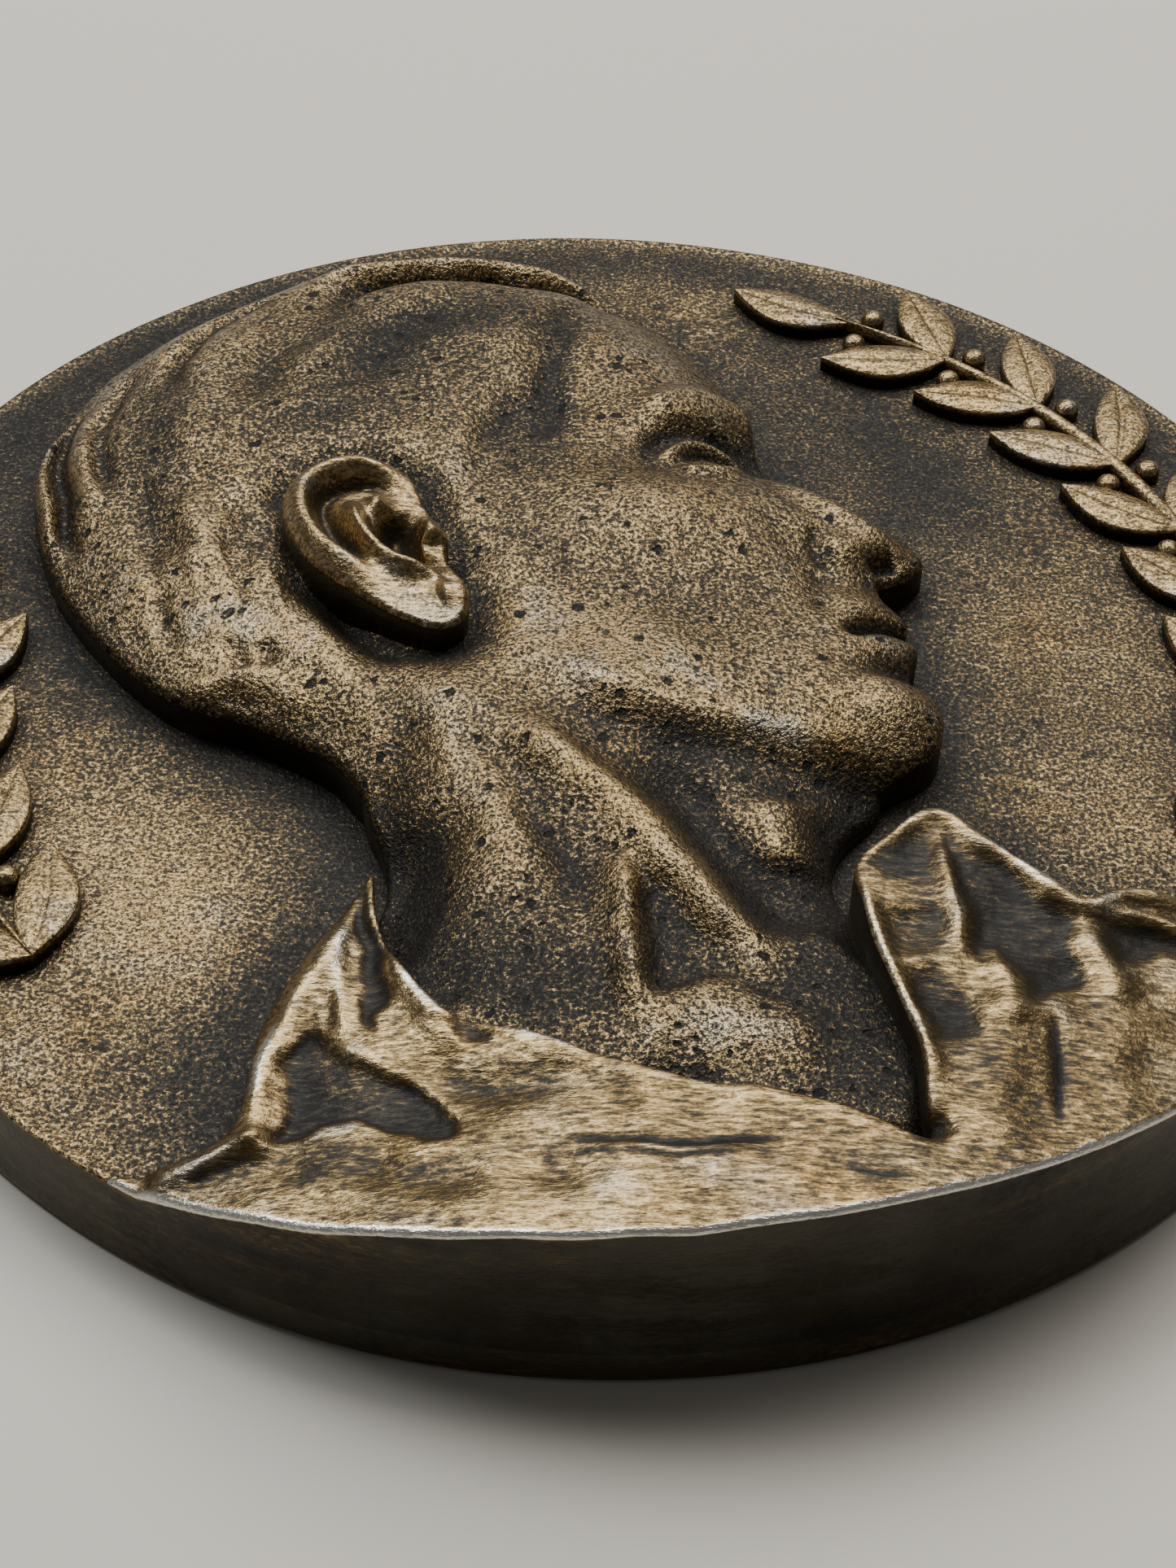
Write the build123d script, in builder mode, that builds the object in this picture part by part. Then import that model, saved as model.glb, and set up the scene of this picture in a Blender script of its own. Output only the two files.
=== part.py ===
from build123d import *
from math import cos, hypot, radians, sin, sqrt
import os

# Blank, in millimetres
DIAMETER = 70.0
FIELD_THICKNESS = 4.6
EDGE_ROUND = 0.4
SEAT = 1.0

# Head, in millimetres and degrees: a low dome cut to the outline of a head seen from the side
HEAD_HEIGHT = 42.0
HEAD_TILT = 22.0
HEAD_LEFT = 7.7
HEAD_ABOVE = 6.3
HEAD_RISE = 5.0
DOME_RADIUS = 74.0
HAIR_THICKNESS = 0.4
OUTER_LOCK = 19.7
LOCK_GROOVE = 0.5
LOCK_PITCH = 2.6
LOCK_COUNT = 5
LOCK_SWEEP = (75.0, 120.0)
FORM_RISE = 0.55
BROW_RADIUS = 2.2
NOSE_RADIUS = 2.4
WING_RADIUS = 1.9
LIP_RADIUS = 1.3
MOUTH_GROOVE = 0.35
CHIN_REACH = 3.4
CHEEKBONE_REACH = 5.5
SOCKET_REACH = 3.4
SOCKET_DEPTH = 0.9
EYE_RADIUS = 2.0
EAR_HEIGHT = 12.4
EAR_LEAN = 8.0
EAR_RISE = 0.9
EAR_BOWL_DEPTH = 0.7
EAR_FOLD_RADIUS = 0.55

# Neck and coat, in millimetres
NECK_RISE = 3.7
NECK_RADIUS = 17.0
TENDON_RADIUS = 2.2
TENDON_RISE = 0.45
CHEST_RISE = 5.1
CHEST_RADIUS = 68.0
COLLAR_RISE = 0.6
HOLLOW_DEPTH = 1.6
CREASE_RADIUS = 0.7
CREASE_DEPTH = 0.5
BUTTON_DIAMETER = 1.4
BUTTON_RISE = 0.3

# Leaf sprays, in millimetres and degrees
SPRAY_INSET = 5.4
STEM_WIDTH = 0.8
LEAF_LENGTH = 6.4
LEAF_WIDTH = 2.7
LEAF_RELIEF = 1.0
LEAF_SPREAD = 38.0
BERRY_DIAMETER = 1.2
BERRY_AHEAD = 9.4
NODE_PITCH = 11.0
STEM_PAST = 1.5
RIGHT_SPRAY_FOOT = -22.0
RIGHT_SPRAY_NODES = 9
LEFT_SPRAY_FOOT = 221.0
LEFT_SPRAY_NODES = 5

# Sizes that follow from them
RADIUS = DIAMETER / 2
SPRAY_RADIUS = RADIUS - SPRAY_INSET
CLEAR_HEIGHT = HEAD_RISE + CHEST_RISE
SEAT_PLANE = Plane.XY.offset(FIELD_THICKNESS - SEAT)
POLES_LEVEL = (90, 0, 0)

# Outline of the head in profile: (forward, up) from the head's middle, in shares of HEAD_HEIGHT
NAPE_TO_HAIRLINE = [
    (-0.196, -0.352), (-0.216, -0.290), (-0.275, -0.213), (-0.345, -0.145), (-0.395, -0.010), (-0.413, 0.130),
    (-0.385, 0.270), (-0.280, 0.400), (-0.130, 0.480), (0.050, 0.500), (0.210, 0.463), (0.318, 0.378),
]
FOREHEAD = [(0.318, 0.378), (0.365, 0.300), (0.402, 0.200), (0.412, 0.095)]
NOSE = [(0.412, 0.095), (0.396, 0.020), (0.440, -0.075), (0.503, -0.170), (0.484, -0.205), (0.424, -0.222)]
UPPER_LIP = [(0.424, -0.222), (0.428, -0.255), (0.439, -0.283), (0.419, -0.302)]
LOWER_LIP = [(0.419, -0.302), (0.431, -0.328), (0.402, -0.362)]
CHIN_AND_JAW = [
    (0.402, -0.362), (0.408, -0.425), (0.372, -0.482), (0.300, -0.486), (0.190, -0.436), (0.085, -0.378),
    (0.020, -0.300), (-0.020, -0.210),
]
BEHIND_EAR = [(-0.020, -0.210), (-0.110, -0.240), (-0.196, -0.352)]
HAIRLINE = [
    (0.262, 0.320), (0.200, 0.260), (0.155, 0.180), (0.090, 0.110), (0.040, 0.030), (0.020, -0.060),
    (-0.110, -0.120), (-0.150, -0.240),
]
HAIR_WITHIN = 0.985

# Places on the head, the same way
DOME_MIDDLE = (0.080, -0.060)
BROW = [(0.385, 0.080), (0.290, 0.090)]
EYE = (0.318, 0.000)
NOSE_BRIDGE = [(0.390, 0.000), (0.450, -0.150)]
WING = (0.415, -0.182)
MOUTH = [(0.450, -0.302), (0.350, -0.310)]
UPPER_LIP_LINE = [(0.420, -0.278), (0.378, -0.292)]
LOWER_LIP_LINE = [(0.412, -0.332), (0.378, -0.325)]
CHEEKBONE = (0.200, -0.090)
CHIN_BALL = (0.355, -0.430)
EAR_MIDDLE = (-0.075, -0.070)

# Ear: (forward, up) from its middle, in shares of EAR_HEIGHT
EAR_RIM = [
    (-0.03, 0.50), (0.13, 0.45), (0.22, 0.30), (0.19, 0.10), (0.22, -0.06), (0.15, -0.20), (0.15, -0.36),
    (0.05, -0.50), (-0.10, -0.44), (-0.24, -0.20), (-0.32, 0.08), (-0.28, 0.34), (-0.17, 0.47),
]
EAR_BOWL = [
    (-0.02, 0.36), (0.09, 0.30), (0.10, 0.12), (0.12, 0.00), (0.06, -0.14), (-0.03, -0.20), (-0.14, -0.10),
    (-0.20, 0.10), (-0.15, 0.30),
]
EAR_FOLD = [(-0.10, 0.24), (-0.05, 0.02)]

# Neck and coat: (across, along) from the medal's middle, in shares of RADIUS
NECK = [
    (-0.280, -0.300), (-0.250, -0.380), (-0.238, -0.430), (-0.262, -0.520), (-0.100, -0.880), (0.340, -0.880),
    (0.300, -0.485), (0.278, -0.420), (0.285, -0.340), (0.360, -0.240), (0.100, -0.050), (-0.200, 0.000),
]
NECK_AXIS = [(-0.060, 0.000), (0.070, -0.900)]
TENDONS = [
    [(-0.200, -0.120), (-0.060, -0.360), (0.050, -0.720)],
    [(0.000, -0.120), (0.120, -0.430), (0.260, -0.720)],
]
COAT = [
    (-0.660, -1.200), (-0.470, -0.905), (-0.392, -0.862), (-0.355, -0.710), (-0.262, -0.500),
    (-0.215, -0.610), (-0.130, -0.700), (0.030, -0.765), (0.180, -0.790), (0.300, -0.840), (0.355, -0.880),
    (0.352, -0.800), (0.335, -0.680), (0.305, -0.560), (0.300, -0.485), (0.386, -0.386), (0.520, -0.490),
    (0.660, -0.470), (0.860, -0.550), (1.200, -0.700), (1.200, -1.200),
]
CHEST_MIDDLE = 0.22
LEFT_COLLAR = [
    (-0.262, -0.500), (-0.215, -0.610), (-0.130, -0.700), (0.030, -0.765), (0.180, -0.790), (0.180, -0.822),
    (0.020, -0.805), (-0.140, -0.755), (-0.250, -0.690), (-0.300, -0.720), (-0.352, -0.862), (-0.392, -0.862),
    (-0.355, -0.710),
]
RIGHT_LAPEL = [
    (0.300, -0.485), (0.386, -0.386), (0.520, -0.490), (0.660, -0.470), (0.660, -0.500), (0.530, -0.530),
    (0.400, -0.450), (0.430, -0.640), (0.385, -0.850), (0.352, -0.800), (0.335, -0.680), (0.305, -0.560),
]
COLLAR_HOLLOW = [(-0.300, -0.745), (-0.200, -0.810), (-0.150, -0.880), (-0.215, -0.870), (-0.330, -0.870)]
CREASES = [
    [(-0.050, -0.885), (0.200, -0.872)],
    [(0.495, -0.690), (0.488, -0.830)],
]
BUTTON = (0.352, -0.858)


def from_head(point):
    """Place in the medal of a (forward, up) share of the head."""
    tilt = radians(HEAD_TILT)
    forward, up = point
    across = forward * cos(tilt) - up * sin(tilt)
    along = forward * sin(tilt) + up * cos(tilt)
    return (across * HEAD_HEIGHT - HEAD_LEFT, along * HEAD_HEIGHT + HEAD_ABOVE)


def from_ear(point):
    """Place in the medal of a (forward, up) share of the ear, which leans back from the head's own tilt."""
    lean = radians(EAR_LEAN)
    size = EAR_HEIGHT / HEAD_HEIGHT
    forward = EAR_MIDDLE[0] + size * (point[0] * cos(lean) - point[1] * sin(lean))
    up = EAR_MIDDLE[1] + size * (point[0] * sin(lean) + point[1] * cos(lean))
    return from_head((forward, up))


def from_middle(point):
    """Place in the medal of an (across, along) share of its radius."""
    return (point[0] * RADIUS, point[1] * RADIUS)


def places(frame, points):
    return [frame(point) for point in points]


dome_across, dome_along = from_head(DOME_MIDDLE)


def dome_height(place):
    """Height of the head's dome at a place in the medal."""
    away = hypot(place[0] - dome_across, place[1] - dome_along)
    return FIELD_THICKNESS + HEAD_RISE - DOME_RADIUS + sqrt(DOME_RADIUS**2 - away**2)


def on_dome(place, lift=0.0):
    return Vector(*place, dome_height(place) + lift)


def on_neck(place, lift):
    """Point at a place in the medal, lift above the rounded neck."""
    (x1, y1), (x2, y2) = places(from_middle, NECK_AXIS)
    away = ((place[0] - x1) * (y2 - y1) - (place[1] - y1) * (x2 - x1)) / hypot(x2 - x1, y2 - y1)
    return Vector(*place, FIELD_THICKNESS + NECK_RISE - NECK_RADIUS + sqrt(NECK_RADIUS**2 - away**2) + lift)


def cap(place, reach, rise):
    """Low round mound on the dome, part of a ball that stands rise above it and runs out at reach."""
    ball = (reach**2 + rise**2) / (2 * rise)
    with Locations(on_dome(place, rise - ball)):
        Sphere(ball, rotation=POLES_LEVEL)


def bar(start, end, radius, mode=Mode.ADD):
    """Round bar with ball ends from one point to another."""
    along = end - start
    with Locations(Plane(start + along / 2, z_dir=along)):
        Cylinder(radius, along.length, mode=mode)
    with Locations(start, end):
        Sphere(radius, rotation=POLES_LEVEL, mode=mode)


def swell(line, radius):
    """Long soft form on the face, a bar sunk until it stands out by the forms' rise."""
    bar(*[on_dome(from_head(point), FORM_RISE - radius) for point in line], radius)


def on_chest(point, lift=0.0):
    """Point at an (across, along) share of the radius, lift above the rounded chest."""
    away = (point[0] - CHEST_MIDDLE) * RADIUS
    height = FIELD_THICKNESS + CHEST_RISE - CHEST_RADIUS + sqrt(CHEST_RADIUS**2 - away**2)
    return Vector(*from_middle(point), height + lift)


def chest_block(lift):
    """Long round block with the chest's curve from shoulder to shoulder, raised by lift."""
    axis = (CHEST_MIDDLE * RADIUS, 0, FIELD_THICKNESS + CHEST_RISE - CHEST_RADIUS)
    with Locations(Plane(axis, z_dir=(0, 1, 0))):
        Cylinder(CHEST_RADIUS + lift, DIAMETER + CLEAR_HEIGHT)


with BuildSketch() as profile:
    # Outline of the head, from the nape over the crown and down the face to the jaw and ear
    with BuildLine():
        Spline(*places(from_head, NAPE_TO_HAIRLINE))
        Spline(*places(from_head, FOREHEAD))
        Spline(*places(from_head, NOSE))
        Spline(*places(from_head, UPPER_LIP))
        Spline(*places(from_head, LOWER_LIP))
        Spline(*places(from_head, CHIN_AND_JAW))
        Polyline(*places(from_head, BEHIND_EAR))
    make_face()

with BuildPart() as head:
    # Dome with the soft forms of the face
    with Locations((dome_across, dome_along, FIELD_THICKNESS + HEAD_RISE - DOME_RADIUS)):
        Sphere(DOME_RADIUS, rotation=POLES_LEVEL)
    cap(from_head(CHEEKBONE), CHEEKBONE_REACH, FORM_RISE)
    cap(from_head(CHIN_BALL), CHIN_REACH, FORM_RISE)
    swell(BROW, BROW_RADIUS)

    # Eye in its socket, the eyeball's top level with the skin round it
    socket_ball = (SOCKET_REACH**2 + SOCKET_DEPTH**2) / (2 * SOCKET_DEPTH)
    with Locations(on_dome(from_head(EYE), socket_ball - SOCKET_DEPTH)):
        Sphere(socket_ball, rotation=POLES_LEVEL, mode=Mode.SUBTRACT)
    with Locations(on_dome(from_head(EYE), -EYE_RADIUS)):
        Sphere(EYE_RADIUS, rotation=POLES_LEVEL)

    # Nose with its wing, and the lips parted by a groove
    swell(NOSE_BRIDGE, NOSE_RADIUS)
    with Locations(on_dome(from_head(WING), FORM_RISE - WING_RADIUS)):
        Sphere(WING_RADIUS, rotation=POLES_LEVEL)
    swell(UPPER_LIP_LINE, LIP_RADIUS)
    swell(LOWER_LIP_LINE, LIP_RADIUS)
    bar(*[on_dome(from_head(point)) for point in MOUTH], MOUTH_GROOVE, mode=Mode.SUBTRACT)

    # Everything is cut off at the outline
    with BuildSketch(SEAT_PLANE):
        add(profile.sketch)
    extrude(amount=CLEAR_HEIGHT, mode=Mode.INTERSECT)

with BuildPart() as hair:
    # Close-combed hair: a second dome a little above the skin, behind the hairline and just within the skull
    skull = [(forward * HAIR_WITHIN, up * HAIR_WITHIN) for forward, up in NAPE_TO_HAIRLINE]
    with BuildSketch(Plane.XY.offset(FIELD_THICKNESS)):
        with BuildLine():
            Spline(*places(from_head, skull))
            Spline(*places(from_head, [skull[-1]] + HAIRLINE + [skull[0]]))
        make_face()
    extrude(amount=CLEAR_HEIGHT)
    with Locations((dome_across, dome_along, FIELD_THICKNESS + HEAD_RISE - DOME_RADIUS)):
        Sphere(DOME_RADIUS + HAIR_THICKNESS, rotation=POLES_LEVEL, mode=Mode.INTERSECT)

    # V-shaped grooves between the locks, round the dome's own middle so that each lies level on it
    start, sweep = LOCK_SWEEP
    outward = (cos(radians(start)), sin(radians(start)), 0)
    behind = (sin(radians(start)), -cos(radians(start)), 0)
    for lock in range(LOCK_COUNT):
        ring = OUTER_LOCK - LOCK_PITCH * lock
        middle = (dome_across, dome_along, dome_height((dome_across + ring, dome_along)) + HAIR_THICKNESS)
        with BuildSketch(Plane(middle, outward, behind)):
            with Locations((ring, 0)):
                RegularPolygon(LOCK_GROOVE, 4)
        revolve(axis=Axis(middle, (0, 0, 1)), revolution_arc=sweep, mode=Mode.SUBTRACT)

with BuildPart() as ear:
    # Rim standing on the side of the head, with its bowl and the fold inside it
    ear_top = dome_height(from_head(EAR_MIDDLE)) + EAR_RISE
    with BuildSketch(SEAT_PLANE):
        with BuildLine():
            Spline(*places(from_ear, EAR_RIM), periodic=True)
        make_face()
    extrude(amount=ear_top - FIELD_THICKNESS + SEAT)
    with BuildSketch(Plane.XY.offset(ear_top)):
        with BuildLine():
            Spline(*places(from_ear, EAR_BOWL), periodic=True)
        make_face()
    extrude(amount=-EAR_BOWL_DEPTH, mode=Mode.SUBTRACT)
    bar(*[Vector(*from_ear(point), ear_top - EAR_BOWL_DEPTH) for point in EAR_FOLD], EAR_FOLD_RADIUS)

with BuildPart() as neck:
    # Round neck with two long tendons under the skin
    (axis_x, axis_y), (axis_end_x, axis_end_y) = places(from_middle, NECK_AXIS)
    neck_line = Vector(axis_end_x - axis_x, axis_end_y - axis_y, 0)
    neck_middle = Vector(axis_x, axis_y, FIELD_THICKNESS + NECK_RISE - NECK_RADIUS) + neck_line / 2
    with Locations(Plane(neck_middle, z_dir=neck_line)):
        Cylinder(NECK_RADIUS, DIAMETER)
    for tendon in TENDONS:
        line = [on_neck(place, TENDON_RISE - TENDON_RADIUS) for place in places(from_middle, tendon)]
        for near, far in zip(line[:-1], line[1:]):
            bar(near, far, TENDON_RADIUS)
    with BuildSketch(SEAT_PLANE):
        with BuildLine():
            Polyline(*places(from_middle, NECK), close=True)
        make_face()
    extrude(amount=CLEAR_HEIGHT, mode=Mode.INTERSECT)

with BuildPart() as coat:
    # Chest rounded from shoulder to shoulder, with creases and the hollow under the collar cut into it
    chest_block(0)
    with BuildSketch(SEAT_PLANE):
        with BuildLine():
            Polyline(*places(from_middle, COAT), close=True)
        make_face()
        Circle(RADIUS, mode=Mode.INTERSECT)
    extrude(amount=CLEAR_HEIGHT, mode=Mode.INTERSECT)
    with BuildSketch(Plane.XY.offset(on_chest(COLLAR_HOLLOW[0]).Z - HOLLOW_DEPTH)):
        with BuildLine():
            Polyline(*places(from_middle, COLLAR_HOLLOW), close=True)
        make_face()
    extrude(amount=CLEAR_HEIGHT, mode=Mode.SUBTRACT)
    for crease in CREASES:
        ends = [on_chest(point, CREASE_RADIUS - CREASE_DEPTH) for point in crease]
        bar(*ends, CREASE_RADIUS, mode=Mode.SUBTRACT)

with BuildPart() as collar:
    # Turned-over cloth of the collar and lapel, lying on the coat
    chest_block(COLLAR_RISE)
    with BuildSketch(SEAT_PLANE):
        for outline in (LEFT_COLLAR, RIGHT_LAPEL):
            with BuildLine():
                Polyline(*places(from_middle, outline), close=True)
            make_face()
    extrude(amount=CLEAR_HEIGHT, mode=Mode.INTERSECT)

with BuildPart() as medal:
    # Round blank, its lower edge rounded as a casting's is
    Cylinder(RADIUS, FIELD_THICKNESS, align=(Align.CENTER, Align.CENTER, Align.MIN))
    fillet(medal.edges().sort_by(Axis.Z)[0], EDGE_ROUND)

    # Portrait raised from the field
    for form in (neck, head, hair, ear, coat, collar):
        add(form.part)
    with Locations(on_chest(BUTTON, BUTTON_RISE)):
        Cylinder(BUTTON_DIAMETER / 2, CHEST_RISE, align=(Align.CENTER, Align.CENTER, Align.MAX))

    # Leaf sprays standing on the field, each growing along its arc from the foot to one leaf at the tip
    with BuildSketch(SEAT_PLANE) as sprays:
        for foot, nodes, sense in [
            (RIGHT_SPRAY_FOOT, RIGHT_SPRAY_NODES, 1),
            (LEFT_SPRAY_FOOT, LEFT_SPRAY_NODES, -1),
        ]:
            length = sense * (NODE_PITCH * (nodes - 1) + STEM_PAST)
            with BuildLine():
                outer = CenterArc((0, 0), SPRAY_RADIUS + STEM_WIDTH / 2, foot, length)
                inner = CenterArc((0, 0), SPRAY_RADIUS - STEM_WIDTH / 2, foot, length)
                Line(outer @ 0, inner @ 0)
                Line(outer @ 1, inner @ 1)
            make_face()
            for node in range(nodes):
                angle = foot + sense * NODE_PITCH * node
                root = Vector(SPRAY_RADIUS, 0).rotate(Axis.Z, angle)
                last_node = node == nodes - 1
                for spread in (0,) if last_node else (LEAF_SPREAD, -LEAF_SPREAD):
                    growth = Vector(0, sense).rotate(Axis.Z, angle + spread)
                    side = growth.rotate(Axis.Z, 90) * (LEAF_WIDTH / 2)
                    middle = root + growth * (LEAF_LENGTH / 2)
                    tip = root + growth * LEAF_LENGTH
                    with BuildLine():
                        ThreePointArc(root, middle + side, tip)
                        ThreePointArc(tip, middle - side, root)
                    make_face()
                if not last_node:
                    for shift in (BERRY_DIAMETER, -BERRY_DIAMETER):
                        berry = Vector(SPRAY_RADIUS + shift, 0).rotate(Axis.Z, angle + sense * BERRY_AHEAD)
                        with Locations(berry):
                            Circle(BERRY_DIAMETER / 2)
    extrude(amount=SEAT + LEAF_RELIEF)

medal.part.label = "medal"

os.makedirs("parts", exist_ok=True)
export_step(medal.part, "parts/medal.step")
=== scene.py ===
from math import cos, radians, sin

import bmesh
import bpy
import numpy as np
from mathutils import Matrix, Vector


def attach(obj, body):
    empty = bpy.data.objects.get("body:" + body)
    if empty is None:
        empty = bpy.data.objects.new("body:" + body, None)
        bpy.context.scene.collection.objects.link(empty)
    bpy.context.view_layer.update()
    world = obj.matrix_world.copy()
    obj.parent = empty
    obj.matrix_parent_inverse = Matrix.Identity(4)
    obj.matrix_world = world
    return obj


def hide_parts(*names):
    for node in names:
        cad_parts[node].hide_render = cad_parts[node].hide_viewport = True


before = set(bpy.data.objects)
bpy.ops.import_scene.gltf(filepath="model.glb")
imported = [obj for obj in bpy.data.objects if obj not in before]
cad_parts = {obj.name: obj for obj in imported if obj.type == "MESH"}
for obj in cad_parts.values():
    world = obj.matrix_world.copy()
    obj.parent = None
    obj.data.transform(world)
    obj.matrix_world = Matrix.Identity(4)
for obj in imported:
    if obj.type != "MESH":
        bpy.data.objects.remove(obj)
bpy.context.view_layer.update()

# Sizes of the medal as the solid has them, in millimetres, degrees and shares
MM = 0.001
RADIUS = 35.0
FIELD = 4.6
EDGE_ROUND = 0.4
HEAD_HEIGHT = 42.0
HEAD_TILT = 22.0
HEAD_MIDDLE = np.array([-7.7, 6.3])
EAR_HEIGHT = 12.4
EAR_LEAN = 8.0
EAR_MIDDLE = (-0.075, -0.070)
CHEST_RISE = 5.1
CHEST_RADIUS = 68.0
CHEST_MIDDLE = 0.22
SPRAY_RADIUS = 29.6
LEAF_LENGTH = 6.4
LEAF_WIDTH = 2.7
LEAF_SPREAD = 38.0
NODE_PITCH = 11.0
BERRY_RADIUS = 0.6

# Heights over the field and one reach, in millimetres: the head's edge step and cushion, the jaw's step, the
# neck by the coat and the side of the ear
EDGE_STEP = 1.25
CUSHION_RISE = 3.3
CUSHION_REACH = 9.5
JAW_STEP = 1.15
NECK_LEAST = 3.3
EAR_RISE = 5.0

# Heights over the back, in millimetres, at which the raised pieces end inside the blank
HEAD_FOOT = 3.6
EAR_FOOT = 6.2
COAT_FOOT = 1.9
SPRAY_FOOT = 3.9

# Wear and grain of the open field and of the walls
FIELD_WEAR = 0.72
FIELD_GRAIN = 0.72
WALL_WEAR = 0.37
WALL_GRAIN = -0.50

# Bronze from the deepest patina to bare worn metal, dry dust on the walls, and silver for rubbed marks and a
# painted edge highlight
BRONZE_TONES = [
    (0.00, (0.004, 0.004, 0.004)), (0.28, (0.011, 0.010, 0.008)), (0.50, (0.022, 0.018, 0.012)),
    (0.62, (0.048, 0.035, 0.019)), (0.74, (0.112, 0.077, 0.035)), (0.87, (0.188, 0.131, 0.060)),
    (1.00, (0.340, 0.245, 0.124)),
]
DRY_DUST = (0.072, 0.066, 0.048, 1)
RUBBED_SILVER_AND_HIGHLIGHT = (0.72, 0.69, 0.62, 1)

# Camera fitted to the photograph: degrees, millimetres of lens and shares of RADIUS
CAMERA_ELEVATION = 43.814
CAMERA_ROLL = 2.503
CAMERA_LENS = 67.25
CAMERA_DISTANCE = 3.6221
CAMERA_TARGET = (-0.0104, -0.2079)

# Fineness of the modelled surfaces, in millimetres between points
HEAD_PITCH = 0.135
EAR_PITCH = 0.07
COAT_PITCH = 0.13
MAP_PITCH = 0.25

# Outline of the head and neck: (forward, up) from the head's middle in shares of HEAD_HEIGHT
SKULL = [
    (-0.196, -0.352), (-0.216, -0.290), (-0.275, -0.213), (-0.345, -0.145), (-0.395, -0.010), (-0.413, 0.130),
    (-0.385, 0.270), (-0.280, 0.400), (-0.130, 0.480), (0.050, 0.500), (0.210, 0.463), (0.325, 0.375),
    (0.385, 0.245), (0.408, 0.110), (0.398, 0.025), (0.436, -0.070), (0.499, -0.168), (0.484, -0.203),
    (0.428, -0.222),
]
UPPER_LIP = [(0.428, -0.222), (0.426, -0.252), (0.437, -0.282), (0.417, -0.302)]
CHIN = [(0.417, -0.302), (0.429, -0.326), (0.403, -0.360), (0.409, -0.425), (0.376, -0.480), (0.310, -0.500)]

# The same outline further down: (across, along) from the medal's middle in shares of RADIUS
THROAT = [
    (0.345, -0.262), (0.294, -0.335), (0.287, -0.415), (0.345, -0.500), (0.430, -0.600), (0.440, -0.760),
]
UNDER_COAT = [(0.420, -0.880), (0.300, -0.900), (-0.050, -0.850), (-0.230, -0.760), (-0.282, -0.600)]
NECK_BACK = [(-0.250, -0.480), (-0.241, -0.430), (-0.250, -0.380), (-0.270, -0.335)]

# Soft forms of the face and neck: forward, up, reach forward, reach up, turn in degrees, rise in mm
FORMS = [
    (0.270, 0.210, 0.150, 0.140, 0, 0.40),
    (0.350, 0.082, 0.085, 0.030, 8, 0.60),
    (0.322, 0.010, 0.080, 0.044, 5, -1.15),
    (0.386, 0.006, 0.032, 0.046, 0, -0.40),
    (0.200, -0.085, 0.115, 0.072, -12, 0.75),
    (0.225, -0.245, 0.110, 0.100, 0, -0.35),
    (0.425, -0.115, 0.022, 0.080, 28, 0.70),
    (0.462, -0.164, 0.024, 0.024, 0, 0.15),
    (0.408, -0.182, 0.026, 0.020, 10, 0.50),
    (0.352, -0.170, 0.030, 0.055, 20, -0.25),
    (0.398, -0.272, 0.050, 0.028, -8, 0.40),
    (0.396, -0.335, 0.046, 0.024, 0, 0.50),
    (0.385, -0.372, 0.048, 0.016, 0, -0.55),
    (0.362, -0.435, 0.060, 0.050, 0, 0.80),
    (0.060, -0.335, 0.090, 0.070, 20, 0.50),
    (0.155, 0.120, 0.085, 0.100, 0, -0.35),
    (0.312, -0.002, 0.040, 0.033, 0, 0.78),
]
EYELID_UPPER = [(0.366, -0.010), (0.345, 0.019), (0.312, 0.029), (0.280, 0.016), (0.250, -0.008)]
EYELID_LOWER = [(0.357, -0.014), (0.332, -0.030), (0.297, -0.030), (0.264, -0.016)]
EYELID_FOLD = [(0.374, 0.018), (0.347, 0.044), (0.312, 0.054), (0.272, 0.041), (0.243, 0.014)]
JAW = [
    (0.360, -0.530), (0.310, -0.497), (0.190, -0.440), (0.085, -0.378), (0.020, -0.300), (-0.020, -0.200),
]
FACE_SIDE = [(-0.050, 0.000), (0.300, 0.300), (0.800, 0.300), (0.800, -0.600)]

# Lines on the face, each with its half width in mm and rise in mm, and which of its two ends fade if not both
FACE_LINES = [
    (EYELID_UPPER, 0.42, 0.60),
    ([(0.360, 0.000), (0.340, 0.005), (0.312, 0.014), (0.283, 0.003)], 0.30, -0.35),
    (EYELID_LOWER, 0.38, 0.38),
    (EYELID_FOLD, 0.45, -0.35),
    ([(0.425, -0.303), (0.392, -0.300), (0.365, -0.306), (0.343, -0.313)], 0.42, -0.75, (0, 1)),
    ([(0.462, -0.200), (0.444, -0.196), (0.424, -0.202)], 0.34, -0.75),
    ([(0.396, -0.140), (0.376, -0.160), (0.370, -0.190), (0.384, -0.212)], 0.32, -0.32),
    ([(0.372, -0.205), (0.348, -0.245), (0.330, -0.285)], 0.90, -0.25),
    ([(0.410, 0.100), (0.370, 0.112), (0.320, 0.106), (0.262, 0.076)], 0.75, 0.35, (0, 1)),
]

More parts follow.
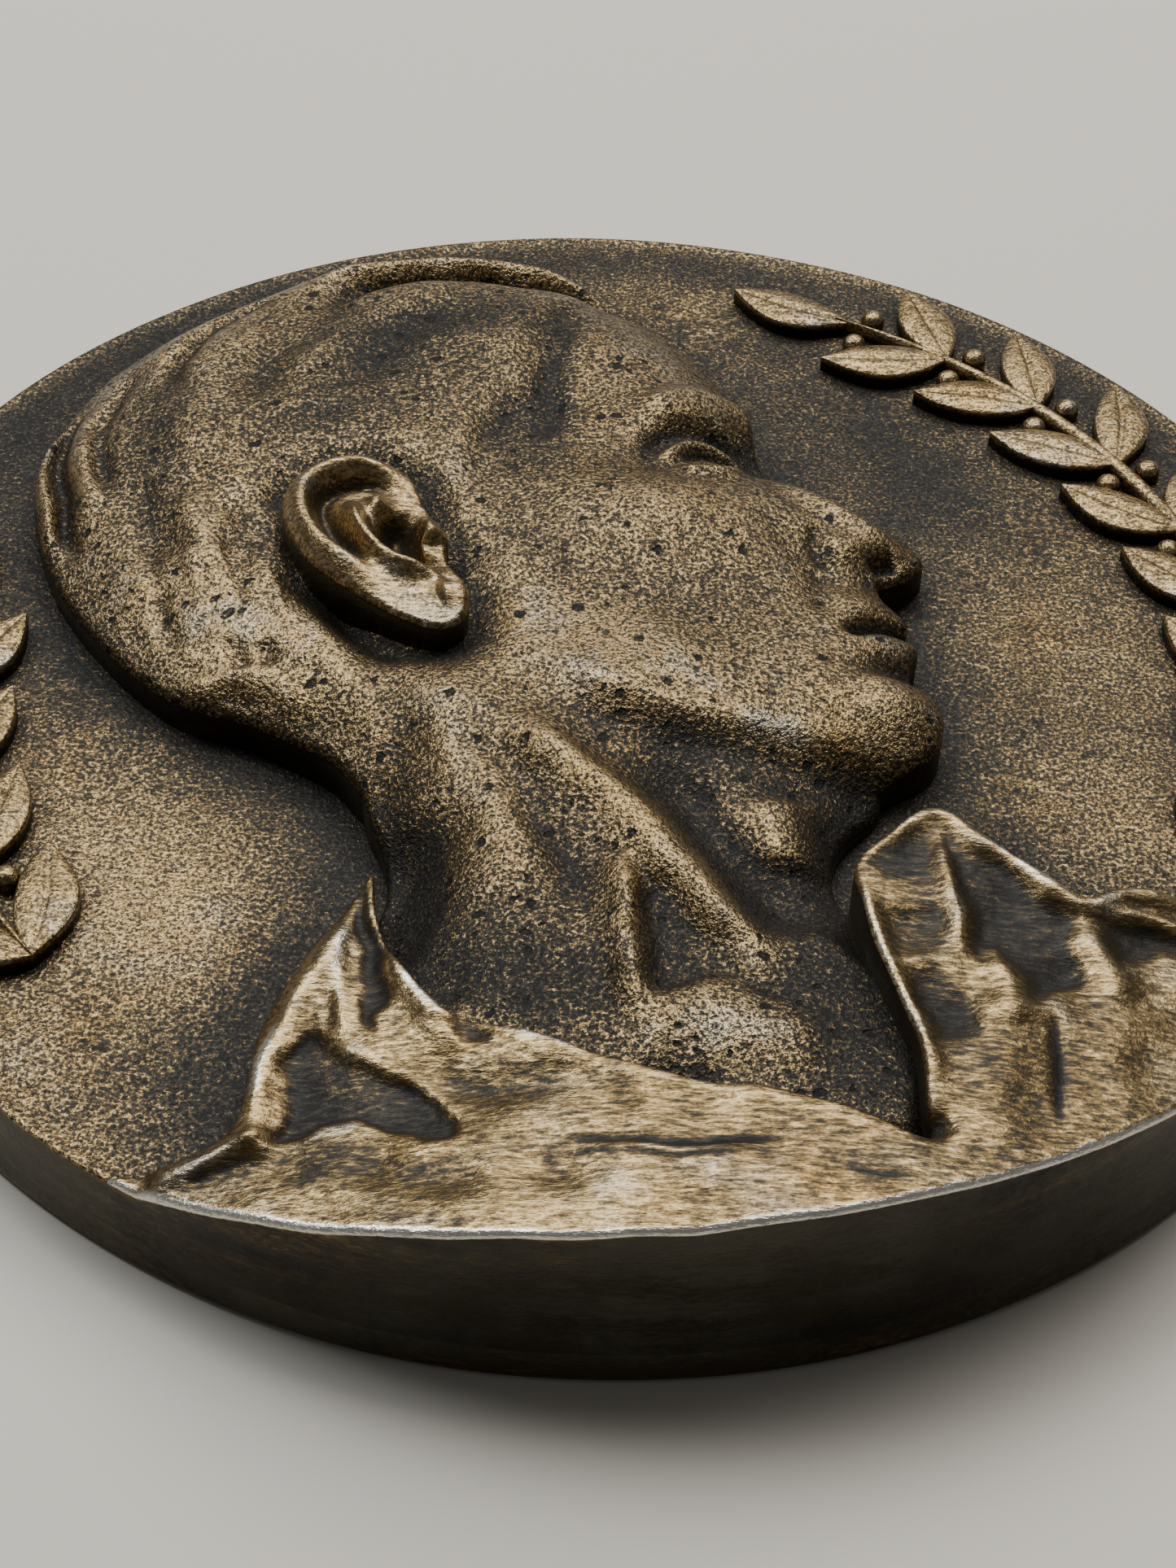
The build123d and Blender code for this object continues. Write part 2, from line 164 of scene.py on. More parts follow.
# Hair: its front edge (head shares), then locks and the grooves between them (radius shares)
HAIRLINE = [
    (0.345, 0.385), (0.285, 0.330), (0.225, 0.290), (0.180, 0.235), (0.150, 0.160), (0.085, 0.110),
    (0.045, 0.040), (0.030, -0.060), (-0.010, -0.085), (-0.140, -0.100), (-0.165, -0.190), (-0.150, -0.290),
    (-0.185, -0.360),
]
BEHIND_HAIR = [(-0.300, -0.500), (-0.700, -0.300), (-0.700, 0.700), (0.300, 0.800), (0.500, 0.600)]
HAIR_LINES = [
    ([(0.010, 0.708), (-0.080, 0.752), (-0.190, 0.771), (-0.300, 0.758), (-0.400, 0.715), (-0.480, 0.660)],
     0.80, 1.05),
    ([(0.045, 0.678), (-0.060, 0.716), (-0.180, 0.730), (-0.290, 0.711), (-0.370, 0.668), (-0.430, 0.600)],
     0.62, -1.05),
    ([(-0.380, 0.725), (-0.480, 0.670), (-0.570, 0.590), (-0.640, 0.490), (-0.690, 0.400)],
     1.10, 0.40),
    ([(-0.470, 0.660), (-0.535, 0.610), (-0.572, 0.550), (-0.596, 0.480), (-0.602, 0.400)],
     0.50, -0.45),
    ([(-0.500, 0.600), (-0.545, 0.500), (-0.560, 0.400), (-0.550, 0.300), (-0.520, 0.200)],
     1.50, 0.35),
    ([(-0.630, 0.530), (-0.668, 0.430), (-0.685, 0.340), (-0.680, 0.260), (-0.655, 0.190)],
     0.55, -0.45),
    ([(-0.700, 0.380), (-0.706, 0.300), (-0.697, 0.230), (-0.668, 0.160)], 0.60, 0.45),
    ([(-0.722, 0.450), (-0.737, 0.340), (-0.731, 0.240), (-0.705, 0.150), (-0.670, 0.080)],
     0.40, -0.60),
    ([(-0.748, 0.400), (-0.763, 0.310), (-0.755, 0.225), (-0.733, 0.155), (-0.703, 0.108)],
     0.42, 0.75),
    ([(-0.330, 0.640), (-0.420, 0.560), (-0.470, 0.460), (-0.480, 0.360)], 1.60, -0.45),
    ([(-0.200, 0.690), (-0.330, 0.620), (-0.410, 0.500), (-0.430, 0.390)], 1.60, 0.35),
    ([(-0.140, 0.630), (-0.270, 0.570), (-0.340, 0.470), (-0.360, 0.380)], 1.50, -0.30),
    ([(-0.620, 0.250), (-0.600, 0.150), (-0.560, 0.060)], 0.90, -0.35),
    ([(-0.560, 0.200), (-0.530, 0.110), (-0.490, 0.030)], 0.80, 0.35),
    ([(-0.500, 0.190), (-0.470, 0.100), (-0.438, 0.010)], 0.32, -0.25),
    ([(-0.450, 0.190), (-0.425, 0.100), (-0.395, 0.020)], 0.70, 0.35),
    ([(-0.600, 0.120), (-0.575, 0.050), (-0.545, -0.020)], 0.32, -0.22),
    ([(-0.570, 0.020), (-0.550, -0.035), (-0.532, -0.090)], 0.34, -0.32),
    ([(-0.545, 0.100), (-0.525, 0.030), (-0.508, -0.060)], 0.30, 0.20),
    ([(-0.495, 0.130), (-0.470, 0.050), (-0.452, -0.020)], 0.30, -0.28),
    ([(-0.470, -0.060), (-0.455, -0.085), (-0.440, -0.120)], 0.36, -0.32),
    ([(-0.430, 0.060), (-0.410, 0.000), (-0.395, -0.060)], 0.30, 0.20),
    ([(-0.425, -0.070), (-0.415, -0.095), (-0.400, -0.120)], 0.40, -0.35),
    ([(-0.540, -0.110), (-0.500, -0.135), (-0.450, -0.128), (-0.400, -0.150), (-0.350, -0.200)],
     0.70, 0.35),
    ([(-0.380, 0.060), (-0.340, 0.000), (-0.290, -0.060), (-0.250, -0.130)], 0.90, -0.45),
    ([(-0.062, 0.640), (-0.068, 0.560), (-0.088, 0.470), (-0.084, 0.390), (-0.078, 0.320)],
     0.75, -0.30),
]

# Neck: tendons, hollows and the collarbone (radius shares)
NECK_LINES = [
    ([(-0.230, -0.100), (-0.170, -0.250), (-0.110, -0.400), (-0.095, -0.560)], 2.10, 0.75),
    ([(-0.225, -0.330), (-0.210, -0.450), (-0.190, -0.600), (-0.120, -0.680)], 1.60, -0.95),
    ([(0.028, -0.420), (0.036, -0.500), (0.046, -0.600), (0.052, -0.690)], 0.75, 0.75),
    ([(-0.120, -0.180), (-0.060, -0.280), (0.006, -0.345), (0.080, -0.425), (0.150, -0.515), (0.210, -0.610)],
     1.30, 1.05),
    ([(0.050, -0.230), (0.120, -0.340), (0.190, -0.450), (0.245, -0.560)], 1.50, -0.85),
    ([(0.215, -0.290), (0.235, -0.350), (0.235, -0.420)], 1.50, 0.60),
    ([(0.020, -0.680), (0.100, -0.672), (0.190, -0.690), (0.270, -0.740)], 1.50, 0.50),
    ([(0.060, -0.762), (0.105, -0.756), (0.150, -0.766)], 0.60, -0.30),
    ([(-0.190, -0.200), (-0.120, -0.300), (-0.040, -0.430), (-0.020, -0.560)], 0.90, -0.35),
]

# Hollow between the tendons: outline (radius shares), depth in mm and softness of its edge in mm
NECK_HOLLOWS = [
    ([(0.052, -0.435), (0.062, -0.530), (0.074, -0.638), (0.140, -0.636), (0.214, -0.624), (0.140, -0.525)],
     0.40, 0.75),
]

# Ear: (forward, up) from its middle in shares of EAR_HEIGHT
EAR_RIM = [
    (-0.03, 0.50), (0.13, 0.45), (0.22, 0.31), (0.20, 0.12), (0.20, -0.04), (0.14, -0.16), (0.14, -0.32),
    (0.06, -0.46), (-0.06, -0.46), (-0.19, -0.26), (-0.31, 0.04), (-0.29, 0.33), (-0.17, 0.47),
]
EAR_LINES = [
    ([(0.180, 0.160), (0.170, 0.300), (0.080, 0.415), (-0.040, 0.450), (-0.165, 0.400), (-0.240, 0.250),
      (-0.245, 0.060), (-0.175, -0.140), (-0.080, -0.290)], 0.72, 0.95),
    ([(0.130, 0.190), (0.080, 0.330), (-0.030, 0.370), (-0.130, 0.320), (-0.170, 0.180), (-0.160, 0.030),
      (-0.110, -0.120)], 0.42, -0.70),
    ([(-0.030, 0.280), (-0.080, 0.150), (-0.090, 0.000), (-0.050, -0.140), (0.040, -0.210), (0.110, -0.170)],
     0.52, 0.95),
    ([(0.055, 0.255), (0.010, 0.140), (-0.015, 0.060)], 0.42, 0.55),
    ([(0.060, 0.180), (0.040, 0.060), (0.030, -0.050), (0.060, -0.120), (0.100, -0.100)],
     0.85, -1.50),
    ([(0.120, 0.080), (0.140, -0.020), (0.120, -0.090)], 0.50, 0.75),
    ([(0.010, -0.340), (0.080, -0.350), (0.120, -0.330)], 0.90, 0.55),
]

# Coat: its outline, folds and recess (radius shares)
COAT = [
    (-0.505, -0.858), (-0.445, -0.850), (-0.388, -0.828), (-0.371, -0.790), (-0.366, -0.725),
    (-0.360, -0.670), (-0.320, -0.585), (-0.272, -0.495), (-0.254, -0.458), (-0.246, -0.520),
    (-0.225, -0.588), (-0.190, -0.645), (-0.150, -0.690), (-0.118, -0.700), (-0.060, -0.722),
    (0.000, -0.752), (0.060, -0.772), (0.130, -0.790), (0.210, -0.802), (0.290, -0.826),
    (0.345, -0.850), (0.366, -0.846), (0.362, -0.800), (0.358, -0.730), (0.338, -0.665),
    (0.316, -0.595), (0.303, -0.525), (0.298, -0.468), (0.340, -0.416), (0.392, -0.366),
    (0.455, -0.408), (0.520, -0.458), (0.562, -0.484), (0.610, -0.458), (0.670, -0.452),
    (0.750, -0.490), (0.840, -0.535),
]
COAT_LINES = [
    ([(-0.268, -0.505), (-0.300, -0.590), (-0.330, -0.670), (-0.352, -0.740), (-0.352, -0.845)],
     0.55, 0.45, (1, 0)),
    ([(-0.352, -0.845), (-0.400, -0.866), (-0.470, -0.876)], 0.60, 0.40, (0, 1)),
    ([(-0.290, -0.580), (-0.300, -0.640), (-0.296, -0.700)], 0.30, 0.22),
    ([(-0.278, -0.530), (-0.284, -0.600), (-0.276, -0.660), (-0.262, -0.715)], 0.45, 0.35),
    ([(-0.236, -0.575), (-0.203, -0.640), (-0.160, -0.700), (-0.125, -0.742)], 0.55, 0.45),
    ([(-0.120, -0.712), (-0.060, -0.737), (0.010, -0.768), (0.110, -0.800), (0.220, -0.818), (0.330, -0.856)],
     0.60, 0.22),
    ([(-0.205, -0.745), (-0.120, -0.790), (-0.020, -0.800), (0.080, -0.822)], 0.80, -0.20),
    ([(-0.250, -0.880), (-0.180, -0.905), (-0.080, -0.920)], 0.90, -0.25),
    ([(-0.042, -0.866), (0.089, -0.877), (0.223, -0.868)], 0.20, -0.14),
    ([(-0.030, -0.880), (0.090, -0.890), (0.210, -0.882)], 0.40, 0.12),
    ([(0.305, -0.470), (0.345, -0.422), (0.392, -0.378), (0.455, -0.420), (0.520, -0.472), (0.560, -0.496),
      (0.610, -0.472), (0.670, -0.466), (0.760, -0.510)], 0.42, 0.34),
    ([(0.560, -0.500), (0.640, -0.500), (0.720, -0.512), (0.780, -0.530)], 0.40, 0.30),
    ([(0.306, -0.480), (0.314, -0.560), (0.330, -0.625), (0.352, -0.690), (0.370, -0.750), (0.372, -0.815)],
     0.48, 0.34),
    ([(0.396, -0.420), (0.406, -0.480), (0.410, -0.540), (0.408, -0.600)], 0.52, 0.36),
    ([(0.350, -0.520), (0.358, -0.570), (0.372, -0.610)], 1.20, -0.22),
    ([(0.440, -0.590), (0.462, -0.640), (0.470, -0.700)], 0.90, 0.30),
    ([(0.560, -0.520), (0.572, -0.570), (0.600, -0.635)], 0.80, 0.22),
    ([(0.515, -0.660), (0.508, -0.745), (0.501, -0.825)], 0.20, -0.16),
    ([(0.440, -0.640), (0.445, -0.720), (0.440, -0.800)], 1.20, 0.20),
    ([(0.680, -0.560), (0.720, -0.610), (0.740, -0.670)], 1.10, -0.35),
]

# Hollows of the coat, with flat dark floors: outline, depth in mm and softness of the edge in mm
COAT_HOLLOWS = [
    ([(-0.319, -0.698), (-0.335, -0.762), (-0.331, -0.834), (-0.286, -0.822), (-0.211, -0.837),
      (-0.164, -0.858), (-0.139, -0.855), (-0.138, -0.830), (-0.180, -0.794), (-0.223, -0.759),
      (-0.273, -0.720), (-0.297, -0.708)], 0.34, 0.24),
    ([(-0.255, -0.482), (-0.257, -0.590), (-0.249, -0.669), (-0.228, -0.700), (-0.221, -0.664),
      (-0.234, -0.579), (-0.248, -0.514)], 0.34, 0.24),
    ([(-0.345, -0.842), (-0.370, -0.866), (-0.405, -0.900), (-0.392, -0.905), (-0.358, -0.880)], 0.26, 0.26),
    ([(0.408, -0.402), (0.440, -0.418), (0.490, -0.458), (0.540, -0.494), (0.540, -0.540),
      (0.525, -0.600), (0.498, -0.650), (0.470, -0.600), (0.450, -0.572), (0.430, -0.600),
      (0.420, -0.560), (0.424, -0.500), (0.414, -0.440)], 0.38, 0.60),
    ([(0.366, -0.630), (0.392, -0.620), (0.412, -0.665), (0.415, -0.700), (0.388, -0.712),
      (0.371, -0.680)], 0.30, 0.55),
    ([(0.568, -0.512), (0.640, -0.512), (0.700, -0.530), (0.640, -0.545), (0.590, -0.570)], 0.36, 0.50),
    ([(0.322, -0.472), (0.345, -0.444), (0.385, -0.405), (0.397, -0.430), (0.372, -0.455),
      (0.352, -0.485), (0.335, -0.490)], 0.18, 0.45),
    ([(-0.165, -0.690), (-0.125, -0.703), (-0.100, -0.735), (-0.130, -0.735)], 0.26, 0.30),
]

# Small round pit where the collar meets the lapel: across, along, reach and depth in mm
COLLAR_PIT = (12.9, -29.3, 0.55, 0.7)

# Marks on the coat, as a change of wear: ridges rubbed to a silvery line, and thin dark lines
MARKS = [
    ([(-0.346, -0.660), (-0.354, -0.730), (-0.354, -0.800)], 0.26, 0.24),
    ([(-0.278, -0.540), (-0.282, -0.610), (-0.276, -0.670)], 0.20, 0.24),
    ([(-0.216, -0.620), (-0.186, -0.660), (-0.150, -0.705)], 0.24, 0.24),
    ([(-0.110, -0.712), (-0.040, -0.738), (0.040, -0.765)], 0.28, 0.22),
    ([(0.450, -0.412), (0.500, -0.450), (0.550, -0.488)], 0.26, 0.22),
    ([(0.303, -0.470), (0.309, -0.540), (0.326, -0.620), (0.350, -0.690), (0.366, -0.760)],
     0.24, 0.10),
    ([(0.306, -0.462), (0.345, -0.420), (0.392, -0.374)], 0.24, 0.12),
    ([(-0.020, -0.875), (0.100, -0.885), (0.200, -0.877)], 0.15, 0.34),
    ([(-0.042, -0.866), (0.089, -0.877), (0.223, -0.868)], 0.20, -0.85),
    ([(-0.055, -0.884), (0.080, -0.895), (0.205, -0.888)], 0.17, -0.75),
    ([(0.515, -0.660), (0.508, -0.745), (0.501, -0.825)], 0.12, -0.75),
    ([(0.270, -0.905), (0.300, -0.915), (0.340, -0.912)], 0.18, -0.55),
    ([(-0.300, -0.905), (-0.280, -0.890), (-0.275, -0.872)], 0.30, -0.50),
]

# Soft dark patches in the patina, bright where the last number is below zero: across, along, reach both ways
# (radius shares), turn in degrees and strength. Some of the head's patches are painted shade and painted
# highlights instead, each marked where it stands.
HEAD_STAINS_AND_PAINTED_LIGHT = [
    (-0.215, -0.430, 0.045, 0.190, 8, 0.50),
    (-0.150, -0.590, 0.120, 0.075, -20, 0.50),
    (-0.050, -0.640, 0.110, 0.060, -6, 0.45),
    (-0.070, -0.480, 0.070, 0.100, 0, 0.22),
    (0.084, -0.565, 0.026, 0.090, 10, 0.32),
    (0.280, -0.520, 0.070, 0.160, -14, 0.70),
    (0.320, -0.690, 0.065, 0.130, 0, 0.75),
    (0.130, -0.715, 0.130, 0.040, -12, -0.26),
    (0.100, -0.762, 0.060, 0.016, -8, 0.55),
    # Painted shade under the jaw
    (0.150, -0.255, 0.160, 0.042, -38, 0.40),
    # Painted highlight along the jaw and the lower cheek
    (0.030, -0.110, 0.200, 0.065, -38, -0.34),
    # Painted highlight on the hair low behind the ear
    (-0.471, -0.032, 0.120, 0.090, -30, -0.36),
    (-0.540, 0.735, 0.110, 0.050, 40, 0.35),
    (-0.311, 0.531, 0.120, 0.060, 20, 0.42),
    (-0.374, 0.348, 0.110, 0.060, 30, 0.26),
    (-0.601, 0.360, 0.045, 0.110, 8, 0.30),
    (-0.156, 0.601, 0.120, 0.050, 0, 0.25),
    (-0.074, 0.560, 0.020, 0.070, 4, 0.30),
    (-0.082, 0.400, 0.021, 0.085, -4, 0.55),
    (-0.610, 0.210, 0.080, 0.110, 0, 0.15),
    # Painted shade over the top of the hair and the temple
    (-0.250, 0.480, 0.340, 0.280, 0, 0.16),
    (-0.080, 0.090, 0.050, 0.120, 10, 0.20),
    (0.110, -0.480, 0.160, 0.032, -52, -0.24),
]
COAT_STAINS = [
    (0.352, -0.452, 0.040, 0.030, 30, 0.38),
    (0.380, -0.530, 0.026, 0.070, 0, 0.24),
    (0.600, -0.470, 0.060, 0.014, -10, 0.25),
    (-0.245, -0.885, 0.055, 0.022, 0, 0.32),
    (-0.165, -0.900, 0.030, 0.018, 10, 0.35),
    (-0.260, -0.855, 0.050, 0.016, 0, 0.30),
    (0.690, -0.620, 0.035, 0.020, 20, 0.35),
    (0.470, -0.720, 0.120, 0.100, 0, 0.20),
    (0.300, -0.880, 0.120, 0.050, 0, 0.12),
]
FIELD_STAINS = [
    (0.430, 0.460, 0.105, 0.240, 38, 0.60),
    (0.260, 0.730, 0.110, 0.050, -20, 0.25),
    (0.470, -0.300, 0.090, 0.070, -30, 0.30),
    (0.611, -0.051, 0.160, 0.160, 0, 0.16),
    (-0.350, -0.610, 0.060, 0.180, -14, 0.45),
    (-0.500, -0.690, 0.120, 0.120, 0, 0.20),
    (-0.560, -0.420, 0.150, 0.150, 0, -0.18),
]

# Sprays: angle of the foot, number of leaf nodes and which way round they grow
SPRAYS = {"laurel_right": (-22.0, 9, 1), "laurel_left": (221.0, 5, -1)}


def in_head(points):
    """Places in the medal of (forward, up) shares of the head: turned by the head's tilt and scaled."""
    tilt = radians(HEAD_TILT)
    p = np.asarray(points, float)
    across = p[..., 0] * cos(tilt) - p[..., 1] * sin(tilt)
    along = p[..., 0] * sin(tilt) + p[..., 1] * cos(tilt)
    return HEAD_MIDDLE + HEAD_HEIGHT * np.stack([across, along], -1)


def head_shares(x, y):
    """The way back from places in the medal to (forward, up) shares of the head."""
    tilt = radians(HEAD_TILT)
    a, b = (x - HEAD_MIDDLE[0]) / HEAD_HEIGHT, (y - HEAD_MIDDLE[1]) / HEAD_HEIGHT
    return a * cos(tilt) + b * sin(tilt), b * cos(tilt) - a * sin(tilt)


def in_ear(points):
    """Places in the medal of (forward, up) shares of the ear."""
    lean = radians(EAR_LEAN)
    p = np.asarray(points, float) * EAR_HEIGHT / HEAD_HEIGHT
    forward = EAR_MIDDLE[0] + p[..., 0] * cos(lean) - p[..., 1] * sin(lean)
    up = EAR_MIDDLE[1] + p[..., 0] * sin(lean) + p[..., 1] * cos(lean)
    return in_head(np.stack([forward, up], -1))


def in_medal(points):
    """Places of (across, along) shares of the medal's radius."""
    return np.asarray(points, float) * RADIUS


def pointing(angle):
    """Arrows of length 1 at angles round the medal's axis: the cosine across and the sine along."""
    return np.stack([np.cos(angle), np.sin(angle)], -1)


def ease(low, high, value):
    """Smooth step from 0 at low to 1 at high: 3 t squared less 2 t cubed."""
    t = np.clip((value - low) / (high - low), 0, 1)
    return t * t * (3 - 2 * t)


def smooth_line(points, per=6):
    """Catmull-Rom line: each span blends its own ends and their neighbours with cubic weights."""
    p = np.asarray(points, float)
    q = np.concatenate([[2 * p[0] - p[1]], p, [2 * p[-1] - p[-2]]])
    a, b, c, d = (q[i:len(q) - 3 + i, None] for i in range(4))
    t = np.linspace(0, 1, per, endpoint=False)[None, :, None]
    line = 0.5 * (2 * b + (c - a) * t + (2 * a - 5 * b + 4 * c - d) * t**2 + (3 * b - a - 3 * c + d) * t**3)
    return np.concatenate([line.reshape(-1, 2), p[-1:]])


def smooth_ring(points, per=6):
    """The same through a closed ring of points."""
    p = np.asarray(points, float)
    line = smooth_line(np.concatenate([p[-2:], p, p[:2]]), per)
    return line[2 * per:(len(p) + 2) * per]


def reach(x, y, line, closed=False):
    """Distance to a line, the share of it at the nearest point, and that point: the least over its spans."""
    p = np.concatenate([line, line[:1]]) if closed else line
    spans = p[1:] - p[:-1]
    lengths = np.hypot(spans[:, 0], spans[:, 1])
    starts = np.concatenate([[0], np.cumsum(lengths)])
    best = np.full(x.shape, np.inf)
    share, nx, ny = np.zeros(x.shape), np.zeros(x.shape), np.zeros(x.shape)
    for (ax, ay), (dx, dy), length, start in zip(p[:-1], spans, lengths, starts):
        t = np.clip(((x - ax) * dx + (y - ay) * dy) / length**2, 0, 1)
        px, py = ax + t * dx, ay + t * dy
        away = (x - px)**2 + (y - py)**2
        near = away < best
        best = np.where(near, away, best)
        share = np.where(near, (start + t * length) / starts[-1], share)
        nx, ny = np.where(near, px, nx), np.where(near, py, ny)
    return np.sqrt(best), share, nx, ny


def within(x, y, ring):
    """True inside a ring of points: a line to the right crosses it an odd number of times."""
    odd = np.zeros(x.shape, bool)
    for (ax, ay), (bx, by) in zip(ring, np.roll(ring, -1, 0)):
        if ay != by:
            odd ^= ((ay > y) != (by > y)) & (x < (bx - ax) * (y - ay) / (by - ay) + ax)
    return odd


def depth_in(x, y, ring):
    """Distance to a ring, positive inside it and negative outside."""
    away = reach(x, y, ring, closed=True)[0]
    return np.where(within(x, y, ring), away, -away)


def stroke(x, y, points, width, ends=(1, 1), taper=0.25):
    """Soft ridge along a smooth line: a bell curve of the distance to it, thinning out at its ends."""
    line = smooth_line(points)
    low, high = line.min(0) - 3 * width, line.max(0) + 3 * width
    near = (x > low[0]) & (x < high[0]) & (y > low[1]) & (y < high[1])
    ridge = np.zeros(x.shape)
    if near.any():
        away, share = reach(x[near], y[near], line)[:2]
        fade = ease(0, taper, share) if ends[0] else 1
        fade = fade * (ease(0, taper, 1 - share) if ends[1] else 1)
        ridge[near] = np.exp(-(away / width)**2) * fade
    return ridge


def strokes(x, y, table, place):
    """Sum of a table's strokes, each times its rise."""
    return sum(rise * stroke(x, y, place(points), width, *ends) for points, width, rise, *ends in table)


def wavering(x, y, amount):
    """Places shifted by about that many mm, so that what is drawn there looks modelled by hand."""
    return x + amount * sampled(small_waves, x, y), y + amount * sampled(other_waves, x, y)


def mound(f, u, form):
    """Soft oval form: a bell curve along two turned axes."""
    forward, up, reach_f, reach_u, turn, rise = form
    t = radians(turn)
    a = (f - forward) * cos(t) + (u - up) * sin(t)
    b = (u - up) * cos(t) - (f - forward) * sin(t)
    return rise * np.exp(-(a / reach_f)**2 - (b / reach_u)**2)


def softened(grid, cells):
    """Bell-curve blur of a grid: its Fourier transform is damped by another bell curve."""
    pad = int(3 * cells) + 1
    wide = np.pad(grid, pad, mode="edge")
    fy, fx = np.fft.fftfreq(wide.shape[0])[:, None], np.fft.rfftfreq(wide.shape[1])
    damp = np.exp(-2 * (np.pi * cells)**2 * (fx**2 + fy**2))
    return np.fft.irfft2(np.fft.rfft2(wide) * damp, wide.shape)[pad:-pad, pad:-pad]


def sampled(grid, x, y):
    """Value of a map of the whole medal at places in it, blended between its four nearest points."""
    c = np.clip((x + RADIUS) / MAP_PITCH, 0, grid.shape[1] - 1.001)
    r = np.clip((y + RADIUS) / MAP_PITCH, 0, grid.shape[0] - 1.001)
    i, j = r.astype(int), c.astype(int)
    v, u = r - i, c - j
    low = grid[i, j] * (1 - u) + grid[i, j + 1] * u
    high = grid[i + 1, j] * (1 - u) + grid[i + 1, j + 1] * u
    return low * (1 - v) + high * v


map_side = np.arange(-RADIUS, RADIUS + MAP_PITCH / 2, MAP_PITCH)
map_x, map_y = np.meshgrid(map_side, map_side)
rng = np.random.default_rng(35)


def unevenness(size):
    """Map of gentle hand-made unevenness, about 1 high and deep: white noise blurred to that size in mm."""
    noise = softened(rng.standard_normal(map_x.shape), size / MAP_PITCH / 2)
    return noise / noise.std()


broad_waves = unevenness(5.0)
small_waves = unevenness(1.6)
other_waves = unevenness(1.6)
fine_waves = unevenness(0.8)


def sway(angle):
    """How far the edge stands in or out of a true circle, in mm: three slow waves round it."""
    return 0.03 * np.sin(3 * angle + 0.5) + 0.02 * np.sin(7 * angle + 2.1) + 0.015 * np.sin(13 * angle)


HEAD_OUTLINE = np.concatenate([
    smooth_line(in_head(SKULL))[:-1],
    smooth_line(in_head(UPPER_LIP))[:-1],
    smooth_line(np.concatenate([in_head(CHIN), in_medal(THROAT)])),
    in_medal(UNDER_COAT),
    smooth_line(in_medal(NECK_BACK)),
])
coat_angles = np.linspace(radians(327.4), radians(239.2), 120)
coat_edge = (RADIUS + 0.02 + sway(coat_angles))[:, None] * pointing(coat_angles)
COAT_OUTLINE = np.concatenate([smooth_line(in_medal(COAT), 4), coat_edge])
EAR_OUTLINE = smooth_ring(in_ear(EAR_RIM))


def head_relief(x, y, pitch):
    """Height of the head and neck over the field: an edge step, and a cushion whose section is a quarter
    circle of the distance to the outline, blurred. The soft forms, lines and hair are added to it. Towards
    the coat the neck keeps a least height."""
    f, u = head_shares(x, y)
    inside = depth_in(x, y, HEAD_OUTLINE)
    front = ease(-0.50, 0.05, f + 0.35 * np.clip(-u - 0.1, 0, 1))
    cushion = np.sqrt(1 - (1 - np.clip(inside / CUSHION_REACH, 0, 1))**2)
    cushion = softened(cushion, 1.1 / pitch)
    height = EDGE_STEP * (0.50 + 0.50 * front) + CUSHION_RISE * cushion * (0.78 + 0.22 * front)
    height += sum(mound(f, u, form) for form in FORMS)
    height += strokes(x, y, FACE_LINES, in_head)

    # The jaw stands over the neck by a step, soft under the ear and crisp at the chin, and all sinks to the coat
    jaw = smooth_line(in_head(JAW))
    away, share = reach(x, y, jaw)[:2]
    side = np.where(within(x, y, np.concatenate([jaw, in_head(FACE_SIDE)])), away, -away)
    under = ease(0, 0.45, 1 - share) * np.exp(-np.clip(-side, 0, None) / 10)
    height += JAW_STEP * under * (ease(-1.1, 1.0, side) - 1)
    height -= 0.9 * ease(-8, -26, y)

    # Neck, hair and the hollow round the ear
    base = NECK_LEAST * ease(-0.38, -0.56, y / RADIUS) * ease(0.2, 3.2, inside)
    height = (height + base + np.sqrt((height - base)**2 + 0.25)) / 2
    hx, hy = wavering(x, y, 0.14)
    height += strokes(hx, hy, NECK_LINES, in_medal) - hollow_cover(x, y, NECK_HOLLOWS)
    hair = np.concatenate([smooth_line(in_head(HAIRLINE)), in_head(BEHIND_HAIR)])
    hair_depth = depth_in(x, y, hair)
    height += 0.40 * ease(-0.9, 0.9, hair_depth)
    height += strokes(hx, hy, HAIR_LINES, in_medal) * ease(-0.5, 0.6, inside)
    ear_away = -depth_in(x, y, EAR_OUTLINE)
    height -= 0.95 * np.exp(-(np.clip(ear_away, 0, None) / 1.5)**2) + 1.2 * ease(-0.3, -1.2, ear_away)
    combing = sampled(comb_map, x, y) * ease(0.3, 1.5, hair_depth)
    height += 0.022 * combing + 0.05 * sampled(broad_waves, x, y) + 0.03 * sampled(small_waves, x, y)
    return softened(height, 0.10 / pitch), inside


def combed():
    """Fine marks that run round the skull: two sets of wandering rings about the ear, in some places strong
    and in others faint."""
    middle = in_ear((0.0, 0.0))
    along = np.arctan2(map_y - middle[1], map_x - middle[0])
    rings = np.hypot(map_x - middle[0], map_y - middle[1])
    wander = 0.8 * np.sin(3.1 * along) + 0.5 * np.sin(7.7 * along + 1)
    coarse = np.sin(2 * np.pi * (rings + wander) / 1.25)
    fine = np.sin(2 * np.pi * (rings - 2 * wander) / 0.83 + 1)
    return (coarse + 0.6 * fine) * (0.5 + 0.5 * np.tanh(small_waves + 0.4 * broad_waves))


comb_map = combed()


def ear_relief(x, y, pitch):
    """Height of the ear over the field: the raised side of the head, with the rim, folds and bowl on it."""
    inside = depth_in(x, y, EAR_OUTLINE)
    height = EAR_RISE + 0.25 * ease(0, 3, inside) + strokes(x, y, EAR_LINES, in_ear)
    return softened(height, 0.08 / pitch), inside


